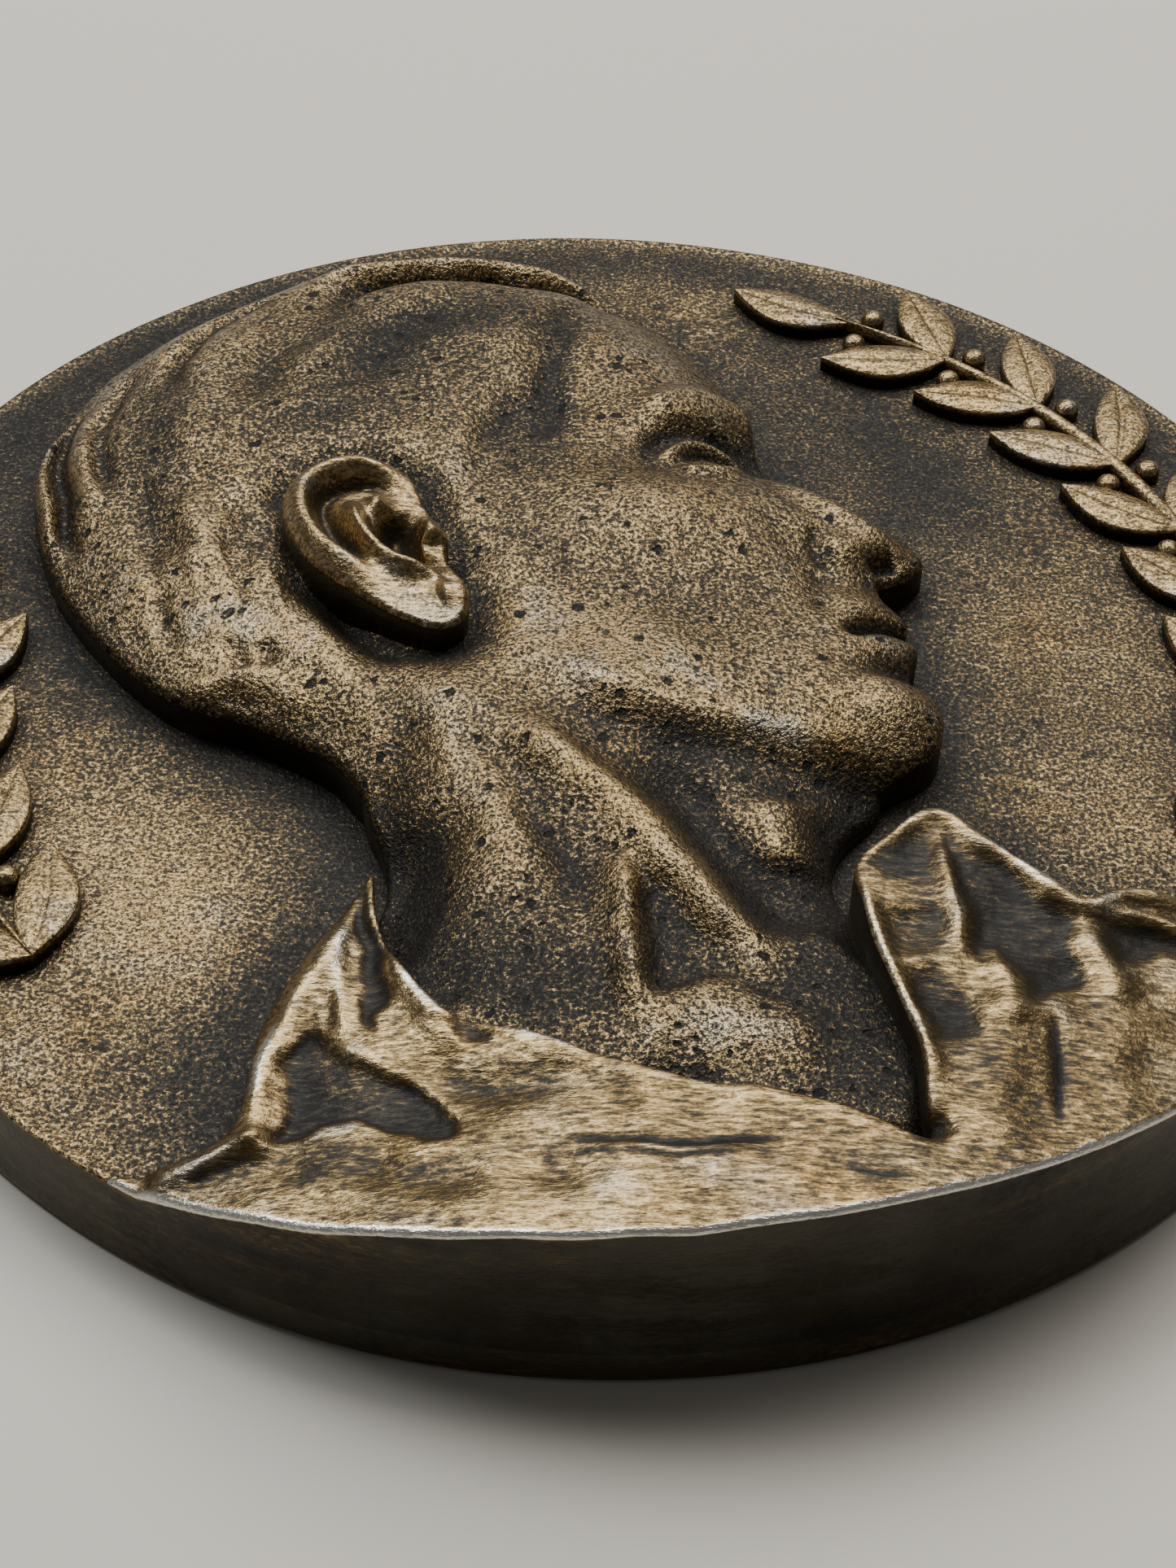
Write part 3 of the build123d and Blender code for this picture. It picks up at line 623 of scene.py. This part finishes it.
def hollow_cover(x, y, table):
    """Depth in mm of a table's hollows at places in the medal: flat floors with eased, uneven edges."""
    hx, hy = wavering(x, y, 0.24)
    hx, hy = hx + 0.12 * sampled(fine_waves, x, y), hy + 0.12 * sampled(fine_waves, y, x)
    return np.max([deep * ease(-soft, soft, depth_in(hx, hy, in_medal(points)))
                   for points, deep, soft in table], axis=0)


def coat_relief(x, y, pitch):
    """Height of the coat over the field: the chest's round, with its folds and hollows. Its unevenness grows
    calm towards the medal's edge."""
    inside = depth_in(x, y, COAT_OUTLINE)
    away = x - CHEST_MIDDLE * RADIUS
    height = CHEST_RISE - CHEST_RADIUS + np.sqrt(CHEST_RADIUS**2 - away**2)
    height = np.maximum(height, 0.55) - 0.25 * ease(-0.55, -0.80, y / RADIUS)
    height += strokes(*wavering(x, y, 0.09), COAT_LINES, in_medal) - hollow_cover(x, y, COAT_HOLLOWS)
    pit_x, pit_y, pit_reach, pit_depth = COLLAR_PIT
    height -= pit_depth * np.exp(-((x - pit_x)**2 + (y - pit_y)**2) / pit_reach**2)
    calm = 0.35 + 0.65 * ease(RADIUS, RADIUS - 3.0, np.hypot(x, y))
    height += calm * (0.10 * sampled(broad_waves, x, y) + 0.09 * sampled(small_waves, x, y))
    return np.maximum(softened(height, 0.10 / pitch), 0.35), inside


def leaf_axes(foot, nodes, sense):
    """Root and growing direction of every leaf of a spray: two at each node and one at the tip."""
    angle = radians(foot) + sense * np.radians(NODE_PITCH) * np.arange(nodes)
    spread = radians(LEAF_SPREAD)
    angles = np.concatenate([angle[:-1], angle[:-1], angle[-1:]])
    turns = np.concatenate([np.full(nodes - 1, spread), np.full(nodes - 1, -spread), [0]])
    roots = SPRAY_RADIUS * pointing(angles)
    growth = sense * np.stack([-np.sin(angles + turns), np.cos(angles + turns)], -1)
    return roots, growth


def lens_cover(x, y, roots, growth):
    """1 where a leaf covers a place, else 0: inside a lens whose half width is a parabola along it."""
    across = np.stack([-growth[:, 1], growth[:, 0]], -1)
    away = np.stack([x, y], -1)[..., None, :] - roots
    t = (away * growth).sum(-1) / LEAF_LENGTH
    s = (away * across).sum(-1)
    return (np.abs(s) < LEAF_WIDTH * 2 * t * (1 - t)).any(-1) * 1.0


def field_waves(x, y):
    """Unevenness of the open field, in mm."""
    return 0.035 * sampled(broad_waves, x, y) + 0.02 * sampled(small_waves, x, y)


# Maps of the whole medal: its heights, its hollows with a ring round the ear, and the mean heights near and wide
medal_map = FIELD + field_waves(map_x, map_y)
hollow_map = hollow_cover(map_x, map_y, COAT_HOLLOWS)
round_ear = -depth_in(map_x, map_y, EAR_OUTLINE)
hollow_map += 0.46 * np.where(round_ear > 0, np.exp(-(round_ear / 1.35)**2), 0)
for relief in (head_relief, coat_relief):
    rise, cover = relief(map_x, map_y, MAP_PITCH)
    medal_map = np.where(cover > 0, FIELD + rise, medal_map)
for spray in SPRAYS.values():
    medal_map = np.maximum(medal_map, FIELD + lens_cover(map_x, map_y, *leaf_axes(*spray)))
blur_near, blur_wide = softened(medal_map, 0.9 / MAP_PITCH), softened(medal_map, 4.0 / MAP_PITCH)


def patina_and_painted_light(x, y, z, stains_and_painted_light):
    """Dark patina kept at a place: more, the further it lies under the mean height round it, plus the stains and
    the hollows. Among the head's stains are painted shade under the jaw and over the top of the hair, and
    painted highlights, below zero, along the jaw and low on the hair."""
    kept = 0.42 * (sampled(blur_near, x, y) - z) + 0.46 * (sampled(blur_wide, x, y) - z)
    stain_and_painted_light = sum(mound(x / RADIUS, y / RADIUS, form) for form in stains_and_painted_light)
    return np.clip(kept, -0.05, 0.80) + stain_and_painted_light + 1.05 * sampled(hollow_map, x, y)


def make_piece(name, vertices, faces, wear_and_painted_light, grain, material):
    """Mesh piece from points in mm, with its wear, which holds painted shade and highlights too, and its grain
    stored on the points.
    """
    mesh = bpy.data.meshes.new(name)
    mesh.from_pydata((vertices * MM).tolist(), [], faces)
    for key, values in (("wear_and_painted_light", wear_and_painted_light), ("grain", grain)):
        layer = mesh.attributes.new(key, "FLOAT", "POINT")
        layer.data.foreach_set("value", np.ascontiguousarray(values, np.float32))
    work = bmesh.new()
    work.from_mesh(mesh)
    bmesh.ops.remove_doubles(work, verts=work.verts, dist=1e-7)
    work.to_mesh(mesh)
    work.free()
    mesh.shade_smooth()
    piece = bpy.data.objects.new(name, mesh)
    bpy.context.scene.collection.objects.link(piece)
    mesh.materials.append(material)
    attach(piece, "root")
    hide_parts("medal")
    return piece


def ring_faces(rows, columns):
    """Quads of a grid whose rows close on themselves, wound so that they face away from the axis."""
    r, c = np.meshgrid(np.arange(rows - 1), np.arange(columns), indexing="ij")
    n = (c + 1) % columns
    quads = np.stack([r * columns + c, r * columns + n, (r + 1) * columns + n, (r + 1) * columns + c], -1)
    return quads.reshape(-1, 4)


def raised_plate(name, outline, relief, stains_and_painted_light, marks, pitch, rounding, foot, lift, grain, material):
    """Closed solid whose top is a relief over an outline, rounded at its border. A square grid is kept where
    its cells lie inside, its border points are moved onto the outline, and walls drop to a base that fans in.
    Its wear is the lift, more where it stands proud of the mean height round it, less the patina and its stains,
    among them painted shade and painted highlights, plus the marks and a bright line at the medal's edge that is
    partly edge wear and partly a painted highlight."""
    low, high = outline.min(0) - 2 * pitch, outline.max(0) + 2 * pitch
    x, y = np.meshgrid(np.arange(low[0], high[0], pitch), np.arange(low[1], high[1], pitch))
    height, inside = relief(x, y, pitch)
    near, wide, broad = (height - softened(height, size / pitch) for size in (0.35, 0.9, 2.2))
    proud = np.clip(0.9 * near + 0.5 * wide + 0.22 * broad, -0.55, 0.26)
    wear_and_painted_light = lift + proud - patina_and_painted_light(x, y, FIELD + height, stains_and_painted_light)
    wear_and_painted_light = np.clip(wear_and_painted_light, 0, 0.92) + 0.08 * np.exp(-(inside / 0.25)**2)
    wear_and_painted_light += strokes(*wavering(x, y, 0.09), marks, in_medal)
    # Bright line along the medal's edge, stronger to the left: partly edge wear and partly a painted highlight
    bright_edge = np.exp(-((RADIUS - 0.02 - np.hypot(x, y)) / 0.20)**2)
    wear_and_painted_light += (0.35 + 0.45 * ease(0.72, 0.50, x / RADIUS)) * bright_edge

    # Cells inside the outline, and the edges that only one of them uses
    corner = np.arange(x.size).reshape(x.shape)
    keep = within(x[:-1, :-1] + pitch / 2, y[:-1, :-1] + pitch / 2, outline)
    quads = np.stack([corner[:-1, :-1], corner[:-1, 1:], corner[1:, 1:], corner[1:, :-1]], -1)[keep]
    edges = np.concatenate([quads[:, [0, 1]], quads[:, [1, 2]], quads[:, [2, 3]], quads[:, [3, 0]]])
    back = edges[:, 1] * x.size + edges[:, 0]
    border = edges[~np.isin(edges[:, 0] * x.size + edges[:, 1], back)]
    rim = np.unique(border)
    inside.ravel()[rim] = 0
    drop = rounding * (1 - np.sqrt(1 - (1 - np.clip(inside / rounding, 0, 1))**2))
    points = np.stack([x.ravel(), y.ravel(), (FIELD + height - drop).ravel()], -1)
    points[rim, 0], points[rim, 1] = reach(points[rim, 0], points[rim, 1], outline, closed=True)[2:]

    # Top, three rings of wall under its border, and the hub of the base
    used = np.unique(quads)
    on_top, on_rim = np.full(x.size, -1), np.full(x.size, -1)
    on_top[used], on_rim[rim] = np.arange(len(used)), np.arange(len(rim))
    crown = points[rim, 2] - 0.10
    levels = [crown, crown - 0.12, np.full(len(rim), foot)]
    walls = [np.column_stack([points[rim, :2], level]) for level in levels]
    vertices = np.concatenate([points[used]] + walls + [[[*outline.mean(0), foot]]])
    rows = [on_top[rim]] + [len(used) + i * len(rim) + np.arange(len(rim)) for i in range(len(walls))]
    start, end = on_rim[border[:, 0]], on_rim[border[:, 1]]
    pairs = zip(rows, rows[1:])
    sides = [np.stack([over[start], under[start], under[end], over[end]], -1) for over, under in pairs]
    base = np.stack([rows[-1][end], rows[-1][start], np.full(len(start), len(vertices) - 1)], -1)
    faces = np.concatenate([on_top[quads]] + sides).tolist() + base.tolist()
    crown_wear, wall_wear = np.full(len(rim), 0.45), np.full(2 * len(rim) + 1, WALL_WEAR)
    all_wear_and_painted_light = np.concatenate([wear_and_painted_light.ravel()[used], crown_wear, wall_wear])
    grain_all = np.where(np.arange(len(vertices)) < len(used), grain, WALL_GRAIN)
    return make_piece(name, vertices, faces, all_wear_and_painted_light, grain_all, material)


def medal_blank(material):
    """Body of the medal: a profile from the middle of the back, round the lower edge, up the wall, over a
    thin lip and in across the field, carried round the axis on rings, with a point at each end."""
    turn = np.linspace(0, np.pi / 2, 6)[1:]
    back_r = np.linspace(0.5, RADIUS - EDGE_ROUND, 16)
    corner_r, corner_z = RADIUS - EDGE_ROUND * (1 - np.sin(turn)), EDGE_ROUND * (1 - np.cos(turn))
    crest_z = FIELD - np.array([0.2, 0.1, 0.03])
    wall_z = np.concatenate([np.linspace(EDGE_ROUND, FIELD - 0.35, 12)[1:], crest_z])
    lip_r = RADIUS - np.array([0.05, 0.14, 0.26, 0.40, 0.55, 0.75, 1.0, 1.3])
    lip_z = FIELD + np.array([0.06, 0.10, 0.11, 0.09, 0.05, 0.02, 0.00, 0.00])
    field_r = np.linspace(RADIUS - 1.65, 0.4, 84)
    r = np.concatenate([back_r, corner_r, np.full(len(wall_z), RADIUS), lip_r, field_r])
    z = np.concatenate([0 * back_r, corner_z, wall_z, lip_z, np.full(len(field_r), FIELD)])
    columns = 600
    angle = np.linspace(0, 2 * np.pi, columns, endpoint=False)
    swayed = r[:, None] * (1 + sway(angle) / RADIUS)
    x, y = swayed * np.cos(angle), swayed * np.sin(angle)
    top = (z >= FIELD - 0.01)[:, None] * 1.0
    heights = z[:, None] + top * field_waves(x, y) * ease(RADIUS, RADIUS - 2, r)[:, None]
    wear_and_painted_light = FIELD_WEAR + 0.8 * (heights - FIELD) - patina_and_painted_light(x, y, FIELD, FIELD_STAINS)
    # Painted shade: a dark band in the field about 2 mm inside the rim, over the back half of the medal
    wear_and_painted_light -= 0.48 * np.exp(-((r - RADIUS + 2.2) / 2.0)**2)[:, None] * ease(-0.2, 0.4, y / RADIUS)
    foot_wear = 0.16 * ease(1.8, 0.2, z)[:, None] * ease(RADIUS - 1, RADIUS, r)[:, None]
    wear_and_painted_light = np.where(top > 0, wear_and_painted_light, WALL_WEAR + foot_wear)
    # Bright line on the corner of the rim: partly edge wear and partly a painted highlight
    edge = np.exp(-((z - FIELD) / 0.08)**2 - ((r - RADIUS) / 0.14)**2)[:, None]
    wear_and_painted_light = np.clip(wear_and_painted_light, 0, 0.9) + 0.30 * edge
    grid = np.stack([x, y, heights], -1).reshape(-1, 3)
    vertices = np.concatenate([grid, [[0, 0, 0], [0, 0, FIELD]]])
    c = np.arange(columns)
    n = (c + 1) % columns
    last = (len(r) - 1) * columns
    under = np.stack([np.full(columns, len(grid)), n, c], -1)
    over = np.stack([np.full(columns, len(grid) + 1), last + c, last + n], -1)
    faces = ring_faces(len(r), columns).tolist() + under.tolist() + over.tolist()
    grain = np.where(top > 0, FIELD_GRAIN, WALL_GRAIN) * np.ones_like(x)
    all_wear_and_painted_light = np.append(wear_and_painted_light.ravel(), [0.1, 0.1])
    grain_all = np.append(grain.ravel(), [WALL_GRAIN, FIELD_GRAIN])
    return make_piece("medal_blank", vertices, faces, all_wear_and_painted_light, grain_all, material)


def blade_shells(spine, normal, half_width, top, foot):
    """Points, quads and wear of solids with a raised top: across each station the surface climbs the left
    wall, crosses the top and goes down the right wall. Arrays run over solids, stations and the way over."""
    side = np.array([0.1, 0.22, 0.4, 0.6, 0.8, 0.93, 0.985, 1, 1, 1])
    v = np.concatenate([-side[::-1], [0], side])
    level = np.array([0, 0.75, 0.93] + [1] * (len(v) - 6) + [0.93, 0.75, 0])
    across = normal[:, :, None] * (half_width[:, :, None] * v)[..., None]
    flat = spine[:, :, None] + across
    z = foot + (FIELD + top(v[None, None], half_width[:, :, None]) - foot) * level
    points = np.concatenate([flat, np.broadcast_to(z[..., None], flat.shape[:3] + (1,))], -1)
    solids, stations, strip = points.shape[:3]
    corner = np.arange(solids * stations * strip).reshape(solids, stations, strip)
    quads = np.stack([corner[:, :-1, :-1], corner[:, 1:, :-1], corner[:, 1:, 1:], corner[:, :-1, 1:]], -1)
    under = np.stack([corner[:, :-1, -1], corner[:, 1:, -1], corner[:, 1:, 0], corner[:, :-1, 0]], -1)
    faces = np.concatenate([quads.reshape(-1, 4), under.reshape(-1, 4)])
    wear_and_painted_light = np.broadcast_to(np.where(level < 0.8, 0.05, 0.78 + 0.22 * np.abs(v)**6), points.shape[:3])
    return points.reshape(-1, 3), faces, wear_and_painted_light.ravel()


def leaf_top(v, half):
    """Rise of a leaf: a low arch across it, lowered to a rounded edge and parted by a midrib groove."""
    share = half / (LEAF_WIDTH / 2)
    return 0.80 + 0.20 * share * (1 - v**2) - 0.16 * share * np.exp(-(v / 0.13)**2) - 0.07 * np.abs(v)**12


def stem_top(v, half):
    """Rise of the stem: a round back."""
    return 0.55 + 0.35 * np.sqrt(np.clip(1 - v**2, 0, 1))


def laurel_spray(name, foot, nodes, sense, material):
    """Spray of leaves on an arc of stem, with two berries between one node and the next."""
    roots, growth = leaf_axes(foot, nodes, sense)
    normal = sense * np.stack([-growth[:, 1], growth[:, 0]], -1)
    t = (1 - np.cos(np.linspace(0, np.pi, 29))) / 2
    bend = 0.5 * np.sin(np.pi * t)**2 * rng.uniform(-0.5, 0.5, len(roots))[:, None]
    length = LEAF_LENGTH * rng.uniform(0.96, 1.03, len(roots))
    run = t * length[:, None]
    spine = roots[:, None] + growth[:, None] * run[..., None] + normal[:, None] * bend[..., None]
    half = np.broadcast_to(LEAF_WIDTH * 2 * t * (1 - t), spine.shape[:2])
    sides = np.broadcast_to(normal[:, None] * sense, spine.shape)
    leaves = blade_shells(spine, sides, half, leaf_top, SPRAY_FOOT)

    along = (1 - np.cos(np.linspace(0, np.pi, 120))) / 2
    angle = radians(foot) + sense * radians(NODE_PITCH * (nodes - 1) + 1.5) * along
    outward = pointing(angle)[None]
    width = 0.42 * np.sqrt(np.clip(np.sin(np.pi * along), 0, 1))[None]
    stem = blade_shells(SPRAY_RADIUS * outward, -sense * outward, width, stem_top, SPRAY_FOOT)

    # Berries: domes on round walls
    berry_angle = radians(foot) + sense * np.radians(NODE_PITCH * np.arange(nodes - 1) + 9.4)
    berry_angle = np.concatenate([berry_angle, berry_angle])
    away = SPRAY_RADIUS + np.repeat([1.2, -1.2], nodes - 1)
    middle = away[:, None] * pointing(berry_angle)
    up = np.concatenate([[0.0], np.full(9, 1.0)])
    rise = np.linspace(0, np.pi / 2, 9)
    ring_r = BERRY_RADIUS * np.concatenate([[1], np.cos(rise)])
    ring_z = np.concatenate([[SPRAY_FOOT], FIELD + 0.45 + 0.55 * np.sin(rise)])
    columns = 24
    round_angle = np.linspace(0, 2 * np.pi, columns, endpoint=False)
    offsets = ring_r[:, None, None] * pointing(round_angle)
    flat = middle[:, None, None] + offsets
    z = np.broadcast_to(ring_z[None, :, None, None], flat.shape[:3] + (1,))
    berry_points = np.concatenate([flat, z], -1)
    ring = ring_faces(len(ring_r), columns)
    size = len(ring_r) * columns
    shift = np.arange(len(middle))[:, None, None] * size
    berry_quads = (ring[None] + shift).reshape(-1, 4)
    bases = (np.arange(columns)[::-1][None] + np.arange(len(middle))[:, None] * size).tolist()
    berry_wear = np.broadcast_to(np.where(up > 0, 0.9, 0.05)[None, :, None], berry_points.shape[:3]).ravel()

    vertices, faces, wear_and_painted_light, count = [], [], [], 0
    for points, quads, worn in (leaves, stem, (berry_points.reshape(-1, 3), berry_quads, berry_wear)):
        vertices.append(points)
        faces += (quads + count).tolist()
        wear_and_painted_light.append(worn)
        count += len(points)
    first_berry = count - len(berry_wear)
    faces += [[corner + first_berry for corner in base] for base in bases]
    vertices = np.concatenate(vertices)
    return make_piece(name, vertices, faces, np.concatenate(wear_and_painted_light), np.full(len(vertices), 0.45), material)


def patinated_bronze():
    """Cast bronze: dark brown patina in the hollows, worn golden where the wear is high; the wear also holds
    painted shade and painted highlights. The grain on the points gives sandy speckle with small pits near 1,
    dragged marks near 0 and soft dusty bands below 0."""
    material = bpy.data.materials.new("patinated_bronze")
    material.use_nodes = True
    nodes, links = material.node_tree.nodes, material.node_tree.links
    nodes.clear()

    def add(kind, inputs=(), **settings):
        node = nodes.new(kind)
        for key, value in settings.items():
            setattr(node, key, value)
        for key, value in dict(inputs).items():
            if isinstance(value, bpy.types.NodeSocket):
                links.new(value, node.inputs[key])
            else:
                node.inputs[key].default_value = value
        return node

    def maths(operation, a, b, clamp=False):
        return add("ShaderNodeMath", {0: a, 1: b}, operation=operation, use_clamp=clamp).outputs[0]

    def plus(a, b):
        return maths("ADD", a, b)

    def less(a, b, clamp=False):
        return maths("SUBTRACT", a, b, clamp)

    def times(a, b, clamp=False):
        return maths("MULTIPLY", a, b, clamp)

    def over(value, level, gain):
        """How far a value stands over a level, times a gain, held from 0 to 1."""
        return times(less(value, level, True), gain, True)

    def swing(value, gain):
        """Swing of a noise about its middle, times a gain."""
        return times(less(value, 0.5), gain)

    def noise(scale, detail, roughness=0.6, vector=None):
        inputs = {"Vector": vector or place, "Scale": scale, "Detail": detail, "Roughness": roughness}
        return add("ShaderNodeTexNoise", inputs).outputs["Fac"]

    def stretched(scale):
        return add("ShaderNodeMapping", {"Vector": place, "Scale": scale}).outputs[0]

    def ramp(value, stops):
        node = add("ShaderNodeValToRGB", {"Fac": value})
        while len(node.color_ramp.elements) < len(stops):
            node.color_ramp.elements.new(0.5)
        for element, (at, colour) in zip(node.color_ramp.elements, stops):
            element.position, element.color = at, (*colour, 1)
        return node.outputs["Color"]

    def toned(colour, hue, saturation, value):
        inputs = {"Color": colour, "Hue": hue, "Saturation": saturation, "Value": value}
        return add("ShaderNodeHueSaturation", inputs).outputs[0]

    def mixed(share, first, second):
        return add("ShaderNodeMix", {0: share, 6: first, 7: second}, data_type="RGBA").outputs[2]

    def between(value, low, high, at_low, at_high):
        """A line from one number where the value is low to another where it is high."""
        inputs = {"Value": value, "From Min": low, "From Max": high, "To Min": at_low, "To Max": at_high}
        return add("ShaderNodeMapRange", inputs).outputs[0]

    place = add("ShaderNodeTexCoord").outputs["Object"]
    wear_and_painted_light = add("ShaderNodeAttribute", attribute_name="wear_and_painted_light").outputs["Fac"]
    grain = add("ShaderNodeAttribute", attribute_name="grain").outputs["Fac"]
    sandy, plain = maths("MAXIMUM", grain, 0.0), less(1.0, maths("ABSOLUTE", grain, 0.0))
    sand, fleck, cloud = noise(5600, 2, 0.75), noise(1100, 4), noise(200, 3)
    drag = noise(5200, 3, 0.75, stretched((0.22, 1.0, 1.0)))
    band = noise(900, 3, 0.6, stretched((0.12, 0.12, 1.0)))

    # Pits: some cells of a bent pattern, each with its own size
    bent = add("ShaderNodeVectorMath", {0: place, 1: times(fleck, 0.0009)}, operation="ADD").outputs[0]
    pits = add("ShaderNodeTexVoronoi", {"Vector": bent, "Scale": 1500.0, "Randomness": 1.0})
    chosen = add("ShaderNodeSeparateColor", {"Color": pits.outputs["Color"]}).outputs[0]
    pit = over(over(chosen, 0.72, 1.65), pits.outputs["Distance"], 7.0)
    pit = times(pit, over(grain, 0.66, 4.0))

    # Bare metal showing: the wear, with its painted shade and highlights, broken up by the noises and the pits
    speckle, smeared = times(swing(sand, 4.4), sandy), times(swing(drag, 2.4), plain)
    amount = plus(wear_and_painted_light, plus(speckle, smeared))
    amount = plus(amount, swing(fleck, plus(0.25, times(sandy, 0.32))))
    amount = plus(amount, swing(cloud, 0.40))
    amount = plus(amount, swing(band, less(0.7, times(grain, 0.7))))
    amount = less(amount, pit)

    # Colour: cool grey and warm patches, dusty walls, and silver where the metal is rubbed and for a painted
    # highlight on the edge
    colour = ramp(times(plus(amount, 0.4), 1 / 1.4), BRONZE_TONES)
    cool = times(over(noise(230, 3), 0.53, 5.0), over(wear_and_painted_light, 0.5, 2.4))
    colour = mixed(cool, colour, toned(colour, 0.52, 0.38, 1.0))
    warm = over(noise(170, 3), 0.54, 4.0)
    colour = mixed(warm, colour, toned(colour, 0.495, 1.16, 0.94))
    dusty = times(times(grain, -1.5, True), over(noise(110, 5), 0.40, 5.0))
    colour = mixed(dusty, colour, DRY_DUST)
    colour = mixed(over(plus(wear_and_painted_light, swing(drag, 0.8)), 1.0, 4.0), colour, RUBBED_SILVER_AND_HIGHLIGHT)

    relief = plus(times(sand, times(sandy, 0.11)), times(fleck, 0.06))
    relief = plus(relief, times(drag, times(plain, 0.05)))
    relief = less(relief, times(pit, 0.06))
    bump = add("ShaderNodeBump", {"Height": relief, "Strength": 1.0, "Distance": 0.001})
    shader = add("ShaderNodeBsdfPrincipled", {
        "Base Color": colour, "Metallic": between(amount, 0.1, 0.6, 0.30, 0.95),
        "Roughness": between(amount, 0.0, 0.9, 0.58, 0.30),
        "Specular IOR Level": between(amount, 0.0, 0.6, 0.22, 0.5), "Normal": bump.outputs[0],
    })
    output = add("ShaderNodeOutputMaterial", {"Surface": shader.outputs[0]})
    output.name = "finish"
    return material


def table_top():
    """Pale table the medal lies on."""
    mesh = bpy.data.meshes.new("table")
    mesh.from_pydata([(-1.5, -1.2, 0), (1.5, -1.2, 0), (1.5, 3.0, 0), (-1.5, 3.0, 0)], [], [(0, 1, 2, 3)])
    table = bpy.data.objects.new("table", mesh)
    bpy.context.scene.collection.objects.link(table)
    material = bpy.data.materials.new("pale_table")
    material.use_nodes = True
    shader = material.node_tree.nodes["Principled BSDF"]
    shader.inputs["Base Color"].default_value = (0.545, 0.511, 0.450, 1)
    shader.inputs["Roughness"].default_value = 0.6
    mesh.materials.append(material)


def soft_light(name, place, target, size, power, colour=(1, 1, 1)):
    """Square softbox turned to face a point."""
    data = bpy.data.lights.new(name, "AREA")
    data.size, data.energy, data.color = size, power, colour
    lamp = bpy.data.objects.new(name, data)
    bpy.context.scene.collection.objects.link(lamp)
    lamp.location = place
    lamp.rotation_euler = (Vector(target) - Vector(place)).to_track_quat("-Z", "Y").to_euler()


def place_camera():
    """Camera in front of the medal and above it, looking down on it, with a slight roll."""
    elevation, roll = radians(CAMERA_ELEVATION), radians(CAMERA_ROLL)
    target = Vector((CAMERA_TARGET[0] * RADIUS, CAMERA_TARGET[1] * RADIUS, FIELD)) * MM
    back = Vector((0, -cos(elevation), sin(elevation)))
    right = (-back).cross(Vector((0, 0, 1))).normalized()
    up = right.cross(-back)
    turned_right = right * cos(roll) + up * sin(roll)
    turned_up = up * cos(roll) - right * sin(roll)
    data = bpy.data.cameras.new("camera")
    data.sensor_width, data.lens = 36.0, CAMERA_LENS
    data.clip_start, data.clip_end = 0.005, 10
    camera = bpy.data.objects.new("camera", data)
    bpy.context.scene.collection.objects.link(camera)
    axes = Matrix((turned_right, turned_up, back)).transposed().to_4x4()
    camera.matrix_world = Matrix.Translation(target + back * CAMERA_DISTANCE * RADIUS * MM) @ axes
    bpy.context.scene.camera = camera


bronze = patinated_bronze()
medal_blank(bronze)
raised_plate(
    "portrait_head", HEAD_OUTLINE, head_relief, HEAD_STAINS_AND_PAINTED_LIGHT, [],
    pitch=HEAD_PITCH, rounding=0.34, foot=HEAD_FOOT, lift=0.55, grain=0.92, material=bronze,
)
raised_plate(
    "portrait_ear", EAR_OUTLINE, ear_relief, [], [],
    pitch=EAR_PITCH, rounding=0.30, foot=EAR_FOOT, lift=0.88, grain=0.30, material=bronze,
)
raised_plate(
    "coat", COAT_OUTLINE, coat_relief, COAT_STAINS, MARKS,
    pitch=COAT_PITCH, rounding=0.22, foot=COAT_FOOT, lift=0.66, grain=0.10, material=bronze,
)
for name, spray in SPRAYS.items():
    laurel_spray(name, *spray, bronze)
for name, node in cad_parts.items():
    node.data.materials.clear()
    node.data.materials.append(bronze)

table_top()
soft_light("overhead", (0.07, 0.25, 0.42), (0, 0, 0), 0.42, 3.1, (1.0, 0.98, 0.95))
soft_light("window", (-0.30, 0.20, 0.50), (0, 0, 0), 0.28, 2.6, (0.95, 0.98, 1.0))
world = bpy.data.worlds.new("studio")
world.use_nodes = True
world.node_tree.nodes["Background"].inputs["Color"].default_value = (0.80, 0.80, 0.80, 1)
world.node_tree.nodes["Background"].inputs["Strength"].default_value = 0.15
bpy.context.scene.world = world
place_camera()
